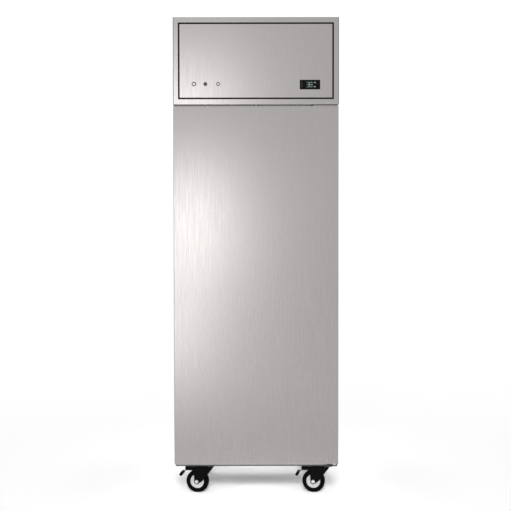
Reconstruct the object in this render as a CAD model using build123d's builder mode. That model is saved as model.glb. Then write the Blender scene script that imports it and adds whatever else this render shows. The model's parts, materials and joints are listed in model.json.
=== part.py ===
from build123d import *
import os

os.makedirs("parts", exist_ok=True)

# Driving sizes, in millimetres. X is to the right, Y to the rear, Z up from the floor.

# Insulated body
cabinet_width = 735
cabinet_depth = 735
cabinet_height = 1632
skin = 1
face_sheet = 1.5
base_sheet = 2
base_rim = 20
side_wall = 62
ceiling_wall = 60
floor_wall = 72
rear_wall = 50
liner_radius = 15
breaker_width = 12
breaker_depth = 10

# Door, with its gasket and grip
door_depth = 70
door_gap = 10
door_side_inset = 1.5
door_top_drop = 10
door_bottom_rise = 27
door_edge_radius = 2
plug_height = 14
plug_margin = 10
plug_radius = 20
plug_edge_radius = 2
gasket_inset = 24
gasket_width = 18
gasket_groove = 4
gasket_groove_depth = 3
grip_setback = 12
grip_width = 35
grip_depth = 22
grip_wall = 1.5
grip_end = 12
grip_lip = 4
grip_lip_sheet = 1

# Door hinges
hinge_inset = 18
hinge_setback = 25
pin_radius = 6
pin_length = 25
bush_radius = 10
bush_length = 30
collar_radius = 9
bracket_sheet = 3
upper_bracket_length = 115
lower_bracket_length = 55
bracket_lug = 14
bracket_nose = 14
bracket_corner = 10
flange_length = 79
flange_height = 21
upper_bracket_gap = 1.5
lower_bracket_gap = 10
screw_radius = 3
screw_head_radius = 5
screw_head_height = 3
screw_bite = 14
screw_count = 3
screw_pitch = 25

# Clearances
running_gap = 0.05
seat_gap = 0.3
hole_gap = 0.1

# Nuts and glands
hex_sides = 6

# Shelving, light, duct and probe inside
upright_width = 30
upright_depth = 20
upright_sheet = 1.5
upright_end_gap = 40
upright_setback = 85
slot_width = 14
slot_height = 5
slot_pitch = 60
shelf_count = 4
shelf_pitch = 300
shelf_first_rise = 215
shelf_width = 530
shelf_depth = 650
shelf_wire = 4
shelf_rim = 8
shelf_wire_pitch = 30
shelf_brace_count = 3
rail_sheet = 1.5
rail_leg = 30
rail_height = 20
light_width = 400
light_depth = 24
light_height = 12
light_setback = 35
light_edge_radius = 3
duct_width = 500
duct_depth = 24
duct_sheet = 1.5
duct_end_gap = 95
duct_slot_length = 60
duct_slot_height = 8
duct_slot_rows = 8
duct_slot_columns = 4
probe_radius = 3
probe_length = 60
probe_clip = 16
probe_drop = 120

# Machine compartment and fascia
machine_height = 381
machine_sheet = 1
lid_sheet = 1.2
vent_length = 150
vent_height = 8
vent_columns = 3
vent_rows = 9
vent_pitch = 26
gland_reach = 15
gland_radius = 15
gland_thread = 10
gland_edge_radius = 2.5
gland_bore = 5
gland_nut = 6
gland_inset = 34
gland_rise = 60
fascia_gap_above_door = 6
fascia_sheet = 1.2
fascia_border = 22.6
fascia_rail = 23.6
fascia_gap = 7
fascia_return = 20
fascia_edge_radius = 1.5
ledge_setback = 30
ledge_width = 18
seal_width = 11
seal_depth = 4
bumper_length = 40
bumper_height = 8
bumper_inset = 20
fascia_pin_setback = 8
fascia_pin_drop = 10
fascia_pin_radius = 2.5
fascia_hinge_spread = 250
tab_thickness = 3
tab_radius = 4.5
ear_thickness = 2
ear_radius = 6
ear_spread = 12
notch_margin = 5

# Controller and door switch
lens_x = 239
lens_rise = 87.5
lens_width = 90
lens_height = 42
lens_thickness = 3
lens_recess = 0.2
lens_gap = 0.2
controller_depth = 55
controller_flange = 6
controller_flange_sheet = 3
key_offset = 21
key_spread = 9
key_width = 9
key_height = 7
key_length = 5
key_travel = 1
key_radius = 2
key_edge_radius = 0.5
switch_setback = 12
switch_width = 20
switch_depth = 15
switch_height = 20
plunger_radius = 4
plunger_length = 14
plunger_travel = 3

# Refrigeration unit on the body
tray_inset = 22
tray_sheet = 1.5
tray_rim = 15
unit_margin = 10
hood_width = 600
hood_height = 230
hood_wall = 25
hood_back_gap = 15
intake_radius = 90
supply_width = 480
supply_margin = 2
coil_width = 470
coil_depth = 50
coil_height = 160
coil_gap = 8
condenser_width = 330
condenser_depth = 60
condenser_height = 270
fin_sheet = 1
fin_pitch = 12
fin_web = 10
end_plate = 2
tube_radius = 4
tube_pitch = 25
fan_tip_gap = 6
hub_radius = 28
hub_length = 26
blade_count = 5
blade_sheet = 2
blade_chord = 70
blade_angle = 25
shaft_radius = 4
shaft_length = 22
motor_radius = 34
motor_length = 45
motor_gap = 6
motor_arm = 12
motor_arm_count = 4
motor_arm_sheet = 3
motor_ring = 10
ceiling_fan_rise = 12
shroud_depth = 40
shroud_sheet = 1.2
condenser_fan_radius = 112
shroud_fan_setback = 8
compressor_radius = 72
compressor_height = 190
compressor_dome = 40
compressor_gap = 40
seam_height = 6
seam_reach = 3
foot_overhang = 8
foot_width = 120
foot_sheet = 3
grommet_radius = 10
grommet_height = 15
stub_length = 14
stub_rise = 127
pipe_radius = 4
pipe_bend = 16
pipe_corridor = 60
drier_radius = 10
drier_length = 80
box_depth = 180
box_height = 110
box_radius = 6
box_lid = 12
box_groove = 2
pan_depth = 90
pan_height = 34
pan_sheet = 1.5

# Casters
wheel_radius = 52
tyre_width = 32
tyre_thickness = 20
tyre_round = 8
wheel_web = 8
wheel_rim = 4
wheel_hub_radius = 13
axle_radius = 5
axle_head_radius = 7.5
axle_head_height = 6
fork_sheet = 3
fork_side_gap = 3
fork_boss_radius = 12
fork_lobe_radius = 9
fork_lobe_reach = 18
fork_lobe_rise = 8
fork_back = 17
fork_front = 73
wheel_headroom = 13
caster_trail = 18
caster_angle = -10
race_radius = 30
fork_race_height = 7.5
race_gap = 0.5
plate_race_height = 6
plate_sheet = 3
plate_length = 100
plate_width = 84
plate_corner = 6
bolt_spacing_x = 80
bolt_spacing_y = 60
bolt_radius = 4
bolt_head_radius = 6.5
bolt_head_height = 5.3
bolt_bite = 14
king_pin_radius = 6
king_pin_head_radius = 10
king_pin_head_height = 5
caster_spread = 267.8
caster_shift = 14.6
caster_front_inset = 73
caster_rear_inset = 70
lug_reach = 54
lug_height = 17
pedal_pivot_back = 42
pedal_pivot_drop = 7.5
pedal_barrel_radius = 6
pedal_pin_radius = 3
pedal_side_gap = 0.5
neck_thickness = 3
neck_width = 10
neck_reach = 11
neck_drop = 9
arm_reach = 21
arm_drop = 11
paddle_thickness = 9
paddle_tip = 8
paddle_reach = 6
paddle_drop = 9

# Places that follow from the sizes
half_width = cabinet_width / 2
crown_z = 2 * wheel_radius + wheel_headroom
fork_top_z = crown_z + fork_sheet + fork_race_height
plate_race_z = fork_top_z + race_gap
plate_z = plate_race_z + plate_race_height
base_z = plate_z + plate_sheet
cabinet_top_z = base_z + cabinet_height
top_z = cabinet_top_z + machine_height
front_y = -(door_depth + door_gap + cabinet_depth + gland_reach) / 2
door_back_y = front_y + door_depth
cabinet_front_y = door_back_y + door_gap
cabinet_back_y = cabinet_front_y + cabinet_depth
casing_front_y = cabinet_front_y + face_sheet

room_half = half_width - side_wall
room_floor_z = base_z + floor_wall
room_ceiling_z = cabinet_top_z - ceiling_wall
room_height = room_ceiling_z - room_floor_z
room_mid_z = (room_floor_z + room_ceiling_z) / 2
room_back_y = cabinet_back_y - rear_wall
liner_front_y = cabinet_front_y + breaker_depth

door_half = half_width - door_side_inset
door_bottom_z = base_z + door_bottom_rise
door_top_z = cabinet_top_z - door_top_drop
door_height = door_top_z - door_bottom_z
door_mid_z = (door_bottom_z + door_top_z) / 2
hinge_x = door_half - hinge_inset
hinge_y = front_y + hinge_setback

fascia_bottom_z = door_top_z + fascia_gap_above_door
fascia_mid_z = (fascia_bottom_z + top_z) / 2
fascia_height = top_z - fascia_bottom_z
window_width = cabinet_width - 2 * fascia_border
window_height = fascia_height - 2 * fascia_rail
panel_width = window_width - 2 * fascia_gap
panel_height = window_height - 2 * fascia_gap
panel_top_z = fascia_mid_z + panel_height / 2
ledge_y = front_y + ledge_setback
fascia_pin_y = front_y + fascia_pin_setback
fascia_pin_z = panel_top_z - fascia_pin_drop

duct_front_y = room_back_y - duct_depth
supply_span = (duct_front_y + supply_margin, room_back_y - supply_margin)
tray_half = half_width - tray_inset
tray_front_y = cabinet_front_y + face_sheet
tray_back_y = cabinet_back_y - machine_sheet
tray_z = cabinet_top_z + tray_sheet
hood_back_y = cabinet_back_y - hood_back_gap
coil_back_y = supply_span[0] - coil_gap
coil_front_y = coil_back_y - coil_depth
intake_y = coil_front_y - coil_gap - motor_ring - intake_radius
hood_front_y = intake_y - intake_radius - motor_ring - coil_gap - hood_wall

condenser_left = -tray_half + tray_sheet + unit_margin
condenser_right = condenser_left + condenser_width
condenser_x = (condenser_left + condenser_right) / 2
condenser_front_y = tray_front_y + tray_sheet + unit_margin
shroud_y = condenser_front_y + condenser_depth
shroud_back_y = shroud_y + shroud_depth
condenser_mid_z = tray_z + condenser_height / 2
corridor_x = condenser_right + pipe_corridor / 2
compressor_y = hood_front_y - compressor_gap - compressor_radius
compressor_foot_z = tray_z + grommet_height
compressor_z = compressor_foot_z + foot_sheet


def facing(y):
    """The upright plane at a depth, seen from the front: X to the right, Z up, normal to the front."""
    return Plane.XZ.offset(-y)


def block(x, y, z, mode=Mode.ADD):
    """Add or cut a box that reaches between two limits on each axis."""
    with Locations(((x[0] + x[1]) / 2, (y[0] + y[1]) / 2, (z[0] + z[1]) / 2)):
        Box(x[1] - x[0], y[1] - y[0], z[1] - z[0], mode=mode)


def centred(width):
    """The limits of a length that is centred on zero."""
    return (-width / 2, width / 2)


def opening_plate(plane, middle, size, growth, hole_growth, radius, thickness):
    """Extrude a sheet to the rear, round or behind the door opening, with an optional hole."""
    with BuildSketch(plane) as outline:
        with Locations(middle):
            RectangleRounded(size[0] + 2 * growth, size[1] + 2 * growth, radius + growth)
            if hole_growth is not None:
                RectangleRounded(
                    size[0] + 2 * hole_growth,
                    size[1] + 2 * hole_growth,
                    radius + hole_growth,
                    mode=Mode.SUBTRACT,
                )
    extrude(outline.sketch, amount=-thickness)


def cut_air_holes(z_low, z_high):
    """Cut the round intake and the supply slot through one layer of the ceiling."""
    with Locations((0, intake_y, (z_low + z_high) / 2)):
        Cylinder(intake_radius, z_high - z_low, mode=Mode.SUBTRACT)
    block(centred(supply_width), supply_span, (z_low, z_high), Mode.SUBTRACT)


def caster_level(x, y, angle):
    """The floor plane under a king pin, with its X axis away from the wheel."""
    return Plane((x, y, 0)).rotated((0, 0, angle))


def caster_upright(level):
    """The upright plane through the middle of a wheel, centred on its axle."""
    axle = level.from_local_coords(Vector(-caster_trail, 0, wheel_radius))
    return Plane(axle, x_dir=level.x_dir, z_dir=-level.y_dir)


caster_front_y = cabinet_front_y + caster_front_inset
caster_rear_y = cabinet_back_y - caster_rear_inset
casters = {
    "front_left": caster_level(caster_shift - caster_spread, caster_front_y, caster_angle),
    "front_right": caster_level(caster_shift + caster_spread, caster_front_y, caster_angle),
    "rear_left": caster_level(caster_shift - caster_spread, caster_rear_y, 0),
    "rear_right": caster_level(caster_shift + caster_spread, caster_rear_y, 0),
}
hinge_screw_x = [
    hinge_x + bracket_lug - upper_bracket_length + (i + 0.5) * screw_pitch
    for i in range(screw_count)
]
hinge_screw_spots = [
    (x, z)
    for x in hinge_screw_x
    for z in (
        door_bottom_z - lower_bracket_gap + flange_height / 2,
        door_top_z + upper_bracket_gap - flange_height / 2,
    )
]
pieces = {}

# Insulated body

with BuildPart() as outer_casing:
    with BuildSketch(facing(casing_front_y)):
        with Locations((0, base_z)):
            Rectangle(cabinet_width, cabinet_height, align=(Align.CENTER, Align.MIN))
            Rectangle(
                cabinet_width - 2 * skin,
                cabinet_height - skin,
                align=(Align.CENTER, Align.MIN),
                mode=Mode.SUBTRACT,
            )
    extrude(amount=-(cabinet_depth - face_sheet - skin))
    cut_air_holes(cabinet_top_z - skin, cabinet_top_z)
pieces["outer_casing"] = outer_casing

with BuildPart() as back_panel:
    block(
        centred(cabinet_width),
        (cabinet_back_y - skin, cabinet_back_y),
        (base_z, cabinet_top_z),
    )
pieces["back_panel"] = back_panel

with BuildPart() as base_pan:
    pan_y = (casing_front_y, cabinet_back_y - skin)
    block(centred(cabinet_width - 2 * skin), pan_y, (base_z, base_z + base_rim))
    block(
        centred(cabinet_width - 2 * skin - 2 * base_sheet),
        (pan_y[0] + base_sheet, pan_y[1] - base_sheet),
        (base_z + base_sheet, base_z + base_rim),
        Mode.SUBTRACT,
    )
    for level in casters.values():
        with Locations(level.offset(base_z)):
            with GridLocations(bolt_spacing_x, bolt_spacing_y, 2, 2):
                Cylinder(
                    bolt_radius + hole_gap,
                    base_sheet,
                    align=(Align.CENTER, Align.CENTER, Align.MIN),
                    mode=Mode.SUBTRACT,
                )
pieces["base_pan"] = base_pan

with BuildPart() as inner_liner:
    opening_size = (2 * room_half, room_height)
    opening_middle = (0, room_mid_z)
    liner_depth = room_back_y - liner_front_y
    with BuildSketch(facing(liner_front_y)):
        with Locations(opening_middle):
            RectangleRounded(2 * (room_half + skin), room_height + 2 * skin, liner_radius + skin)
    extrude(amount=-(liner_depth + skin))
    with BuildSketch(facing(liner_front_y)):
        with Locations(opening_middle):
            RectangleRounded(2 * room_half, room_height, liner_radius)
    extrude(amount=-liner_depth, mode=Mode.SUBTRACT)
    cut_air_holes(room_ceiling_z, room_ceiling_z + skin)
pieces["inner_liner"] = inner_liner

with BuildPart() as breaker_trim:
    opening_plate(
        facing(cabinet_front_y),
        opening_middle,
        opening_size,
        breaker_width,
        0,
        liner_radius,
        breaker_depth,
    )
pieces["breaker_trim"] = breaker_trim

with BuildPart() as face_frame:
    with BuildSketch(facing(cabinet_front_y)):
        with Locations((0, (base_z + cabinet_top_z) / 2)):
            Rectangle(cabinet_width, cabinet_height)
        with Locations(opening_middle):
            RectangleRounded(
                2 * (room_half + breaker_width),
                room_height + 2 * breaker_width,
                liner_radius + breaker_width,
                mode=Mode.SUBTRACT,
            )
        with Locations(*hinge_screw_spots):
            Circle(screw_radius + hole_gap, mode=Mode.SUBTRACT)
    extrude(amount=-face_sheet)
pieces["face_frame"] = face_frame

with BuildPart() as cabinet_foam:
    foam_y = (casing_front_y, cabinet_back_y - skin)
    block(
        centred(cabinet_width - 2 * skin),
        foam_y,
        (base_z + base_sheet, cabinet_top_z - skin),
    )
    # The rim of the base pan stands in the lower edge of the foam
    with BuildSketch(Plane.XY.offset(base_z + base_sheet)):
        with Locations((0, (foam_y[0] + foam_y[1]) / 2)):
            Rectangle(cabinet_width - 2 * skin, foam_y[1] - foam_y[0])
            Rectangle(
                cabinet_width - 2 * skin - 2 * base_sheet,
                foam_y[1] - foam_y[0] - 2 * base_sheet,
                mode=Mode.SUBTRACT,
            )
    extrude(amount=base_rim - base_sheet, mode=Mode.SUBTRACT)
    with BuildSketch(facing(liner_front_y)):
        with Locations(opening_middle):
            RectangleRounded(2 * (room_half + skin), room_height + 2 * skin, liner_radius + skin)
    extrude(amount=-(liner_depth + skin), mode=Mode.SUBTRACT)
    with BuildSketch(facing(casing_front_y)):
        with Locations(opening_middle):
            RectangleRounded(
                2 * (room_half + breaker_width),
                room_height + 2 * breaker_width,
                liner_radius + breaker_width,
            )
    extrude(amount=-(breaker_depth - face_sheet), mode=Mode.SUBTRACT)
    cut_air_holes(room_ceiling_z + skin, cabinet_top_z - skin)
    with BuildSketch(facing(casing_front_y)):
        with Locations(*hinge_screw_spots):
            Circle(screw_radius + hole_gap)
    extrude(amount=-(screw_bite - bracket_sheet - face_sheet + hole_gap), mode=Mode.SUBTRACT)
    for level in casters.values():
        with Locations(level.offset(base_z + base_sheet)):
            with GridLocations(bolt_spacing_x, bolt_spacing_y, 2, 2):
                Cylinder(
                    bolt_radius + hole_gap,
                    bolt_bite - plate_sheet - base_sheet + hole_gap,
                    align=(Align.CENTER, Align.CENTER, Align.MIN),
                    mode=Mode.SUBTRACT,
                )
pieces["cabinet_foam"] = cabinet_foam


# Door hinges on the body

def add_hinge_bracket(seat_z, toward, length):
    """Add a plate, flange and pin; toward is 1 where the door is above the plate and -1 below."""
    plate_span = sorted((seat_z, seat_z - toward * bracket_sheet))
    right = hinge_x + bracket_lug
    flange_left = right - upper_bracket_length
    with BuildSketch(Plane.XY.offset(plate_span[0])) as plate:
        with Locations((right, cabinet_front_y)):
            Rectangle(
                length,
                cabinet_front_y - hinge_y + bracket_nose,
                align=(Align.MAX, Align.MAX),
            )
        fillet(plate.vertices().group_by(Axis.Y)[0], bracket_corner)
    extrude(plate.sketch, amount=bracket_sheet)
    flange_span = sorted((seat_z, seat_z + toward * flange_height))
    block(
        (flange_left, flange_left + flange_length),
        (cabinet_front_y - bracket_sheet, cabinet_front_y),
        flange_span,
    )
    screw_z = seat_z + toward * flange_height / 2
    with BuildSketch(facing(cabinet_front_y)) as holes:
        with Locations(*[(x, screw_z) for x in hinge_screw_x]):
            Circle(screw_radius + hole_gap)
    extrude(holes.sketch, amount=bracket_sheet, mode=Mode.SUBTRACT)
    pin_span = sorted((plate_span[0], plate_span[1], seat_z + toward * pin_length))
    with Locations((hinge_x, hinge_y, (pin_span[0] + pin_span[-1]) / 2)):
        Cylinder(pin_radius, pin_span[-1] - pin_span[0])


with BuildPart() as hinge_brackets:
    add_hinge_bracket(door_top_z + upper_bracket_gap, -1, upper_bracket_length)
    add_hinge_bracket(door_bottom_z - lower_bracket_gap, 1, lower_bracket_length)
pieces["hinge_brackets"] = hinge_brackets

with BuildPart() as fixing_screws:
    for spot in hinge_screw_spots:
        seat = facing(cabinet_front_y - bracket_sheet)
        with BuildSketch(seat):
            with Locations(spot):
                Circle(screw_head_radius)
        extrude(amount=screw_head_height)
        with BuildSketch(seat):
            with Locations(spot):
                Circle(screw_radius)
        extrude(amount=-screw_bite)
    for level in casters.values():
        with Locations(level.offset(plate_z)):
            with GridLocations(bolt_spacing_x, bolt_spacing_y, 2, 2):
                Cylinder(
                    bolt_radius, bolt_bite, align=(Align.CENTER, Align.CENTER, Align.MIN)
                )
                Cylinder(
                    bolt_head_radius,
                    bolt_head_height,
                    align=(Align.CENTER, Align.CENTER, Align.MAX),
                )
pieces["fixing_screws"] = fixing_screws

# Shelving, light, duct and probe

upright_span = (room_floor_z + upright_end_gap, room_ceiling_z - upright_end_gap)
upright_y = (liner_front_y + upright_setback, duct_front_y - upright_setback)
rail_tops = [room_floor_z + shelf_first_rise + i * shelf_pitch for i in range(shelf_count)]
rail_x = room_half - upright_depth
shelf_back_y = duct_front_y - supply_margin

with BuildPart() as shelf_supports:
    slot_count = int((upright_span[1] - upright_span[0]) / slot_pitch)
    for side in (-1, 1):
        outer_x = sorted((side * room_half, side * rail_x))
        inner_x = sorted((side * room_half, side * (rail_x + upright_sheet)))
        for y in upright_y:
            block(outer_x, (y - upright_width / 2, y + upright_width / 2), upright_span)
            block(
                inner_x,
                (y - upright_width / 2 + upright_sheet, y + upright_width / 2 - upright_sheet),
                upright_span,
                Mode.SUBTRACT,
            )
        with BuildSketch(Plane.YZ.offset(side * (rail_x + upright_sheet / 2))):
            with Locations((sum(upright_y) / 2, sum(upright_span) / 2)):
                with GridLocations(upright_y[1] - upright_y[0], slot_pitch, 2, slot_count):
                    Rectangle(slot_width, slot_height)
        extrude(amount=upright_sheet, both=True, mode=Mode.SUBTRACT)
    for side in (-1, 1):
        for top in rail_tops:
            block(
                sorted((side * rail_x, side * (rail_x - rail_sheet))),
                (shelf_back_y - shelf_depth, shelf_back_y),
                (top - rail_sheet, top + rail_height),
            )
            block(
                sorted((side * rail_x, side * (rail_x - rail_leg))),
                (shelf_back_y - shelf_depth, shelf_back_y),
                (top - rail_sheet, top),
            )
pieces["shelf_supports"] = shelf_supports

with BuildPart() as wire_shelves:
    with BuildSketch() as shelf_grid:
        wire_count = int((shelf_width - 2 * shelf_rim) / shelf_wire_pitch)
        brace_pitch = shelf_depth / (shelf_brace_count + 1)
        with Locations((0, shelf_back_y - shelf_depth / 2)):
            Rectangle(shelf_width, shelf_depth)
            Rectangle(
                shelf_width - 2 * shelf_rim, shelf_depth - 2 * shelf_rim, mode=Mode.SUBTRACT
            )
            with GridLocations(shelf_wire_pitch, 0, wire_count, 1):
                Rectangle(shelf_wire, shelf_depth)
            with GridLocations(0, brace_pitch, 1, shelf_brace_count):
                Rectangle(shelf_width, shelf_wire)
    for top in rail_tops:
        extrude(Plane.XY.offset(top).location * shelf_grid.sketch, amount=shelf_rim)
pieces["wire_shelves"] = wire_shelves

with BuildPart() as interior_light:
    light_front_y = liner_front_y + light_setback
    block(
        centred(light_width),
        (light_front_y, light_front_y + light_depth),
        (room_ceiling_z - light_height, room_ceiling_z),
    )
    fillet(interior_light.faces().sort_by(Axis.Z)[0].edges(), light_edge_radius)
pieces["interior_light"] = interior_light

with BuildPart() as rear_air_duct:
    duct_span = (room_floor_z + duct_end_gap, room_ceiling_z)
    block(centred(duct_width), (duct_front_y, room_back_y), duct_span)
    block(
        centred(duct_width - 2 * duct_sheet),
        (duct_front_y + duct_sheet, room_back_y),
        (duct_span[0] + duct_sheet, duct_span[1]),
        Mode.SUBTRACT,
    )
    with BuildSketch(facing(duct_front_y)):
        with Locations((0, sum(duct_span) / 2)):
            with GridLocations(
                duct_width / duct_slot_columns,
                (duct_span[1] - duct_span[0]) / duct_slot_rows,
                duct_slot_columns,
                duct_slot_rows,
            ):
                SlotOverall(duct_slot_length, duct_slot_height)
    extrude(amount=-duct_sheet, mode=Mode.SUBTRACT)
pieces["rear_air_duct"] = rear_air_duct

with BuildPart() as temperature_probe:
    probe_y = (upright_y[0] + upright_y[1]) / 2
    probe_z = room_ceiling_z - probe_drop
    block(
        (room_half - probe_clip, room_half),
        (probe_y - probe_clip / 2, probe_y + probe_clip / 2),
        (probe_z - probe_clip / 2, probe_z + probe_clip / 2),
    )
    with BuildSketch(facing(probe_y - probe_length / 2)):
        with Locations((room_half - probe_clip / 2, probe_z)):
            Circle(probe_radius)
    extrude(amount=-probe_length)
pieces["temperature_probe"] = temperature_probe

# Machine compartment

wall_top_z = top_z - lid_sheet
with BuildPart() as machine_housing:
    # Two side sheets, and a rear sheet that stands between them
    rear_half = half_width - machine_sheet - seat_gap
    for side in (-1, 1):
        block(
            sorted((side * half_width, side * (half_width - machine_sheet))),
            (cabinet_front_y, cabinet_back_y),
            (cabinet_top_z, wall_top_z),
        )
    block(
        centred(2 * rear_half),
        (cabinet_back_y - machine_sheet, cabinet_back_y),
        (cabinet_top_z, wall_top_z),
    )
    vent_pitch_x = hood_width / vent_columns
    with BuildSketch(facing(cabinet_back_y - machine_sheet)):
        with Locations((0, (cabinet_top_z + wall_top_z) / 2)):
            with GridLocations(vent_pitch_x, vent_pitch, vent_columns, vent_rows):
                SlotOverall(vent_length, vent_height)
        with Locations((half_width - gland_inset, cabinet_top_z + gland_rise)):
            Circle(gland_thread + hole_gap)
    extrude(amount=-machine_sheet, mode=Mode.SUBTRACT)
pieces["machine_housing"] = machine_housing

with BuildPart() as machine_lid:
    block(centred(cabinet_width), (cabinet_front_y, cabinet_back_y), (wall_top_z, top_z))
    with BuildSketch(Plane.XY.offset(wall_top_z)):
        with Locations((0, (cabinet_front_y + cabinet_back_y) / 2)):
            with GridLocations(vent_pitch_x, vent_pitch, vent_columns, vent_rows):
                SlotOverall(vent_length, vent_height)
    extrude(amount=lid_sheet, mode=Mode.SUBTRACT)
pieces["machine_lid"] = machine_lid

with BuildPart() as cable_gland:
    gland_spot = (half_width - gland_inset, cabinet_top_z + gland_rise)
    nut_y = cabinet_back_y - machine_sheet - gland_nut
    with BuildSketch(facing(cabinet_back_y)):
        with Locations(gland_spot):
            RegularPolygon(gland_radius, hex_sides)
    extrude(amount=-gland_nut)
    with BuildSketch(facing(nut_y)):
        with Locations(gland_spot):
            RegularPolygon(gland_radius, hex_sides)
    extrude(amount=-gland_nut)
    with BuildSketch(facing(nut_y - gland_nut)):
        with Locations(gland_spot):
            Circle(gland_thread)
    extrude(amount=-(cabinet_back_y + gland_reach - nut_y + gland_nut))
    fillet(cable_gland.edges().group_by(Axis.Y)[-1], gland_edge_radius)
    with BuildSketch(facing(nut_y - gland_nut)):
        with Locations(gland_spot):
            Circle(gland_bore)
    extrude(amount=-(cabinet_back_y + gland_reach - nut_y + gland_nut), mode=Mode.SUBTRACT)
pieces["cable_gland"] = cable_gland

# Fascia

switch_y = front_y + switch_setback
fascia_hinge_x = (-fascia_hinge_spread, fascia_hinge_spread)
with BuildPart() as fascia_frame:
    fascia_rear_y = cabinet_front_y
    window_x = centred(window_width)
    window_z = (fascia_mid_z - window_height / 2, fascia_mid_z + window_height / 2)
    block(centred(cabinet_width), (front_y, fascia_rear_y), (fascia_bottom_z, top_z))
    fillet(fascia_frame.faces().sort_by(Axis.Y)[0].edges(), fascia_edge_radius)
    block(
        centred(cabinet_width - 2 * fascia_sheet),
        (front_y + fascia_sheet, fascia_rear_y),
        (fascia_bottom_z + fascia_sheet, top_z - fascia_sheet),
        Mode.SUBTRACT,
    )
    with BuildSketch(facing(front_y)):
        with Locations((0, fascia_mid_z)):
            Rectangle(window_width + 2 * fascia_sheet, window_height + 2 * fascia_sheet)
    extrude(amount=-(ledge_setback + fascia_sheet))
    block(window_x, (front_y, ledge_y), window_z, Mode.SUBTRACT)
    with BuildSketch(facing(ledge_y)):
        with Locations((0, fascia_mid_z)):
            Rectangle(window_width - 2 * ledge_width, window_height - 2 * ledge_width)
    extrude(amount=-fascia_sheet, mode=Mode.SUBTRACT)
    with Locations((0, switch_y, fascia_bottom_z + fascia_sheet / 2)):
        Cylinder(plunger_radius + seat_gap, 2 * fascia_sheet, mode=Mode.SUBTRACT)
    # Two tabs on the ledge carry the hinge pins of the panel
    for x in fascia_hinge_x:
        with BuildSketch(Plane.YZ.offset(x)):
            with Locations((fascia_pin_y, fascia_pin_z)):
                Circle(tab_radius)
                Rectangle(
                    ledge_y - fascia_pin_y, 2 * tab_radius, align=(Align.MIN, Align.CENTER)
                )
        extrude(amount=tab_thickness / 2, both=True)
        with BuildSketch(Plane.YZ.offset(x)):
            with Locations((fascia_pin_y, fascia_pin_z)):
                Circle(fascia_pin_radius)
        extrude(amount=ear_spread + 2 * ear_thickness, both=True)
pieces["fascia_frame"] = fascia_frame

with BuildPart() as fascia_seal:
    with BuildSketch(facing(ledge_y - seal_depth)):
        with Locations((0, fascia_mid_z)):
            Rectangle(window_width, window_height)
            Rectangle(
                window_width - 2 * seal_width, window_height - 2 * seal_width, mode=Mode.SUBTRACT
            )
    extrude(amount=-seal_depth)
    # Bumpers at the lower corners stop the closed panel
    bumper_x = panel_width / 2 - bumper_inset - bumper_length / 2
    bumper_z = fascia_mid_z - panel_height / 2
    for side in (-1, 1):
        block(
            (side * bumper_x - bumper_length / 2, side * bumper_x + bumper_length / 2),
            (front_y + fascia_return + seat_gap, ledge_y),
            (bumper_z - fascia_gap / 2, bumper_z + bumper_height),
        )
pieces["fascia_seal"] = fascia_seal

lens_z = fascia_bottom_z + lens_rise
key_x = lens_x + key_offset
keys = {"key_up": lens_z + key_spread, "key_down": lens_z - key_spread}
with BuildPart() as fascia_panel:
    panel_span_z = (panel_top_z - panel_height, panel_top_z)
    return_y = front_y + fascia_return
    block(centred(panel_width), (front_y, return_y), panel_span_z)
    fillet(fascia_panel.faces().sort_by(Axis.Y)[0].edges(), fascia_sheet / 2)
    block(
        centred(panel_width - 2 * fascia_sheet),
        (front_y + fascia_sheet, return_y),
        (panel_span_z[0] + fascia_sheet, panel_span_z[1] - fascia_sheet),
        Mode.SUBTRACT,
    )
    block(
        (lens_x - lens_width / 2 - lens_gap, lens_x + lens_width / 2 + lens_gap),
        (front_y, front_y + fascia_sheet),
        (lens_z - lens_height / 2 - lens_gap, lens_z + lens_height / 2 + lens_gap),
        Mode.SUBTRACT,
    )
    for x in fascia_hinge_x:
        notch = tab_thickness / 2 + notch_margin
        block(
            (x - notch, x + notch),
            (front_y + fascia_sheet, return_y),
            (panel_span_z[1] - fascia_sheet, panel_span_z[1]),
            Mode.SUBTRACT,
        )
        for side in (-1, 1):
            with BuildSketch(Plane.YZ.offset(x + side * ear_spread)):
                with Locations((fascia_pin_y, fascia_pin_z)):
                    Circle(ear_radius)
                    Rectangle(
                        fascia_pin_setback - fascia_sheet,
                        2 * ear_radius,
                        align=(Align.MAX, Align.CENTER),
                    )
                    Circle(fascia_pin_radius + running_gap, mode=Mode.SUBTRACT)
            extrude(amount=ear_thickness / 2, both=True)
pieces["fascia_panel"] = fascia_panel

lens_front_y = front_y + lens_recess
lens_back_y = lens_front_y + lens_thickness
with BuildPart() as controller_lens:
    block(
        (lens_x - lens_width / 2, lens_x + lens_width / 2),
        (lens_front_y, lens_back_y),
        (lens_z - lens_height / 2, lens_z + lens_height / 2),
    )
    fillet(controller_lens.edges().filter_by(Axis.Y), key_radius)
    with BuildSketch(facing(lens_front_y)):
        with Locations(*[(key_x, z) for z in keys.values()]):
            RectangleRounded(
                key_width + 2 * seat_gap, key_height + 2 * seat_gap, key_radius + seat_gap
            )
    extrude(amount=-lens_thickness, mode=Mode.SUBTRACT)
pieces["controller_lens"] = controller_lens

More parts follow.
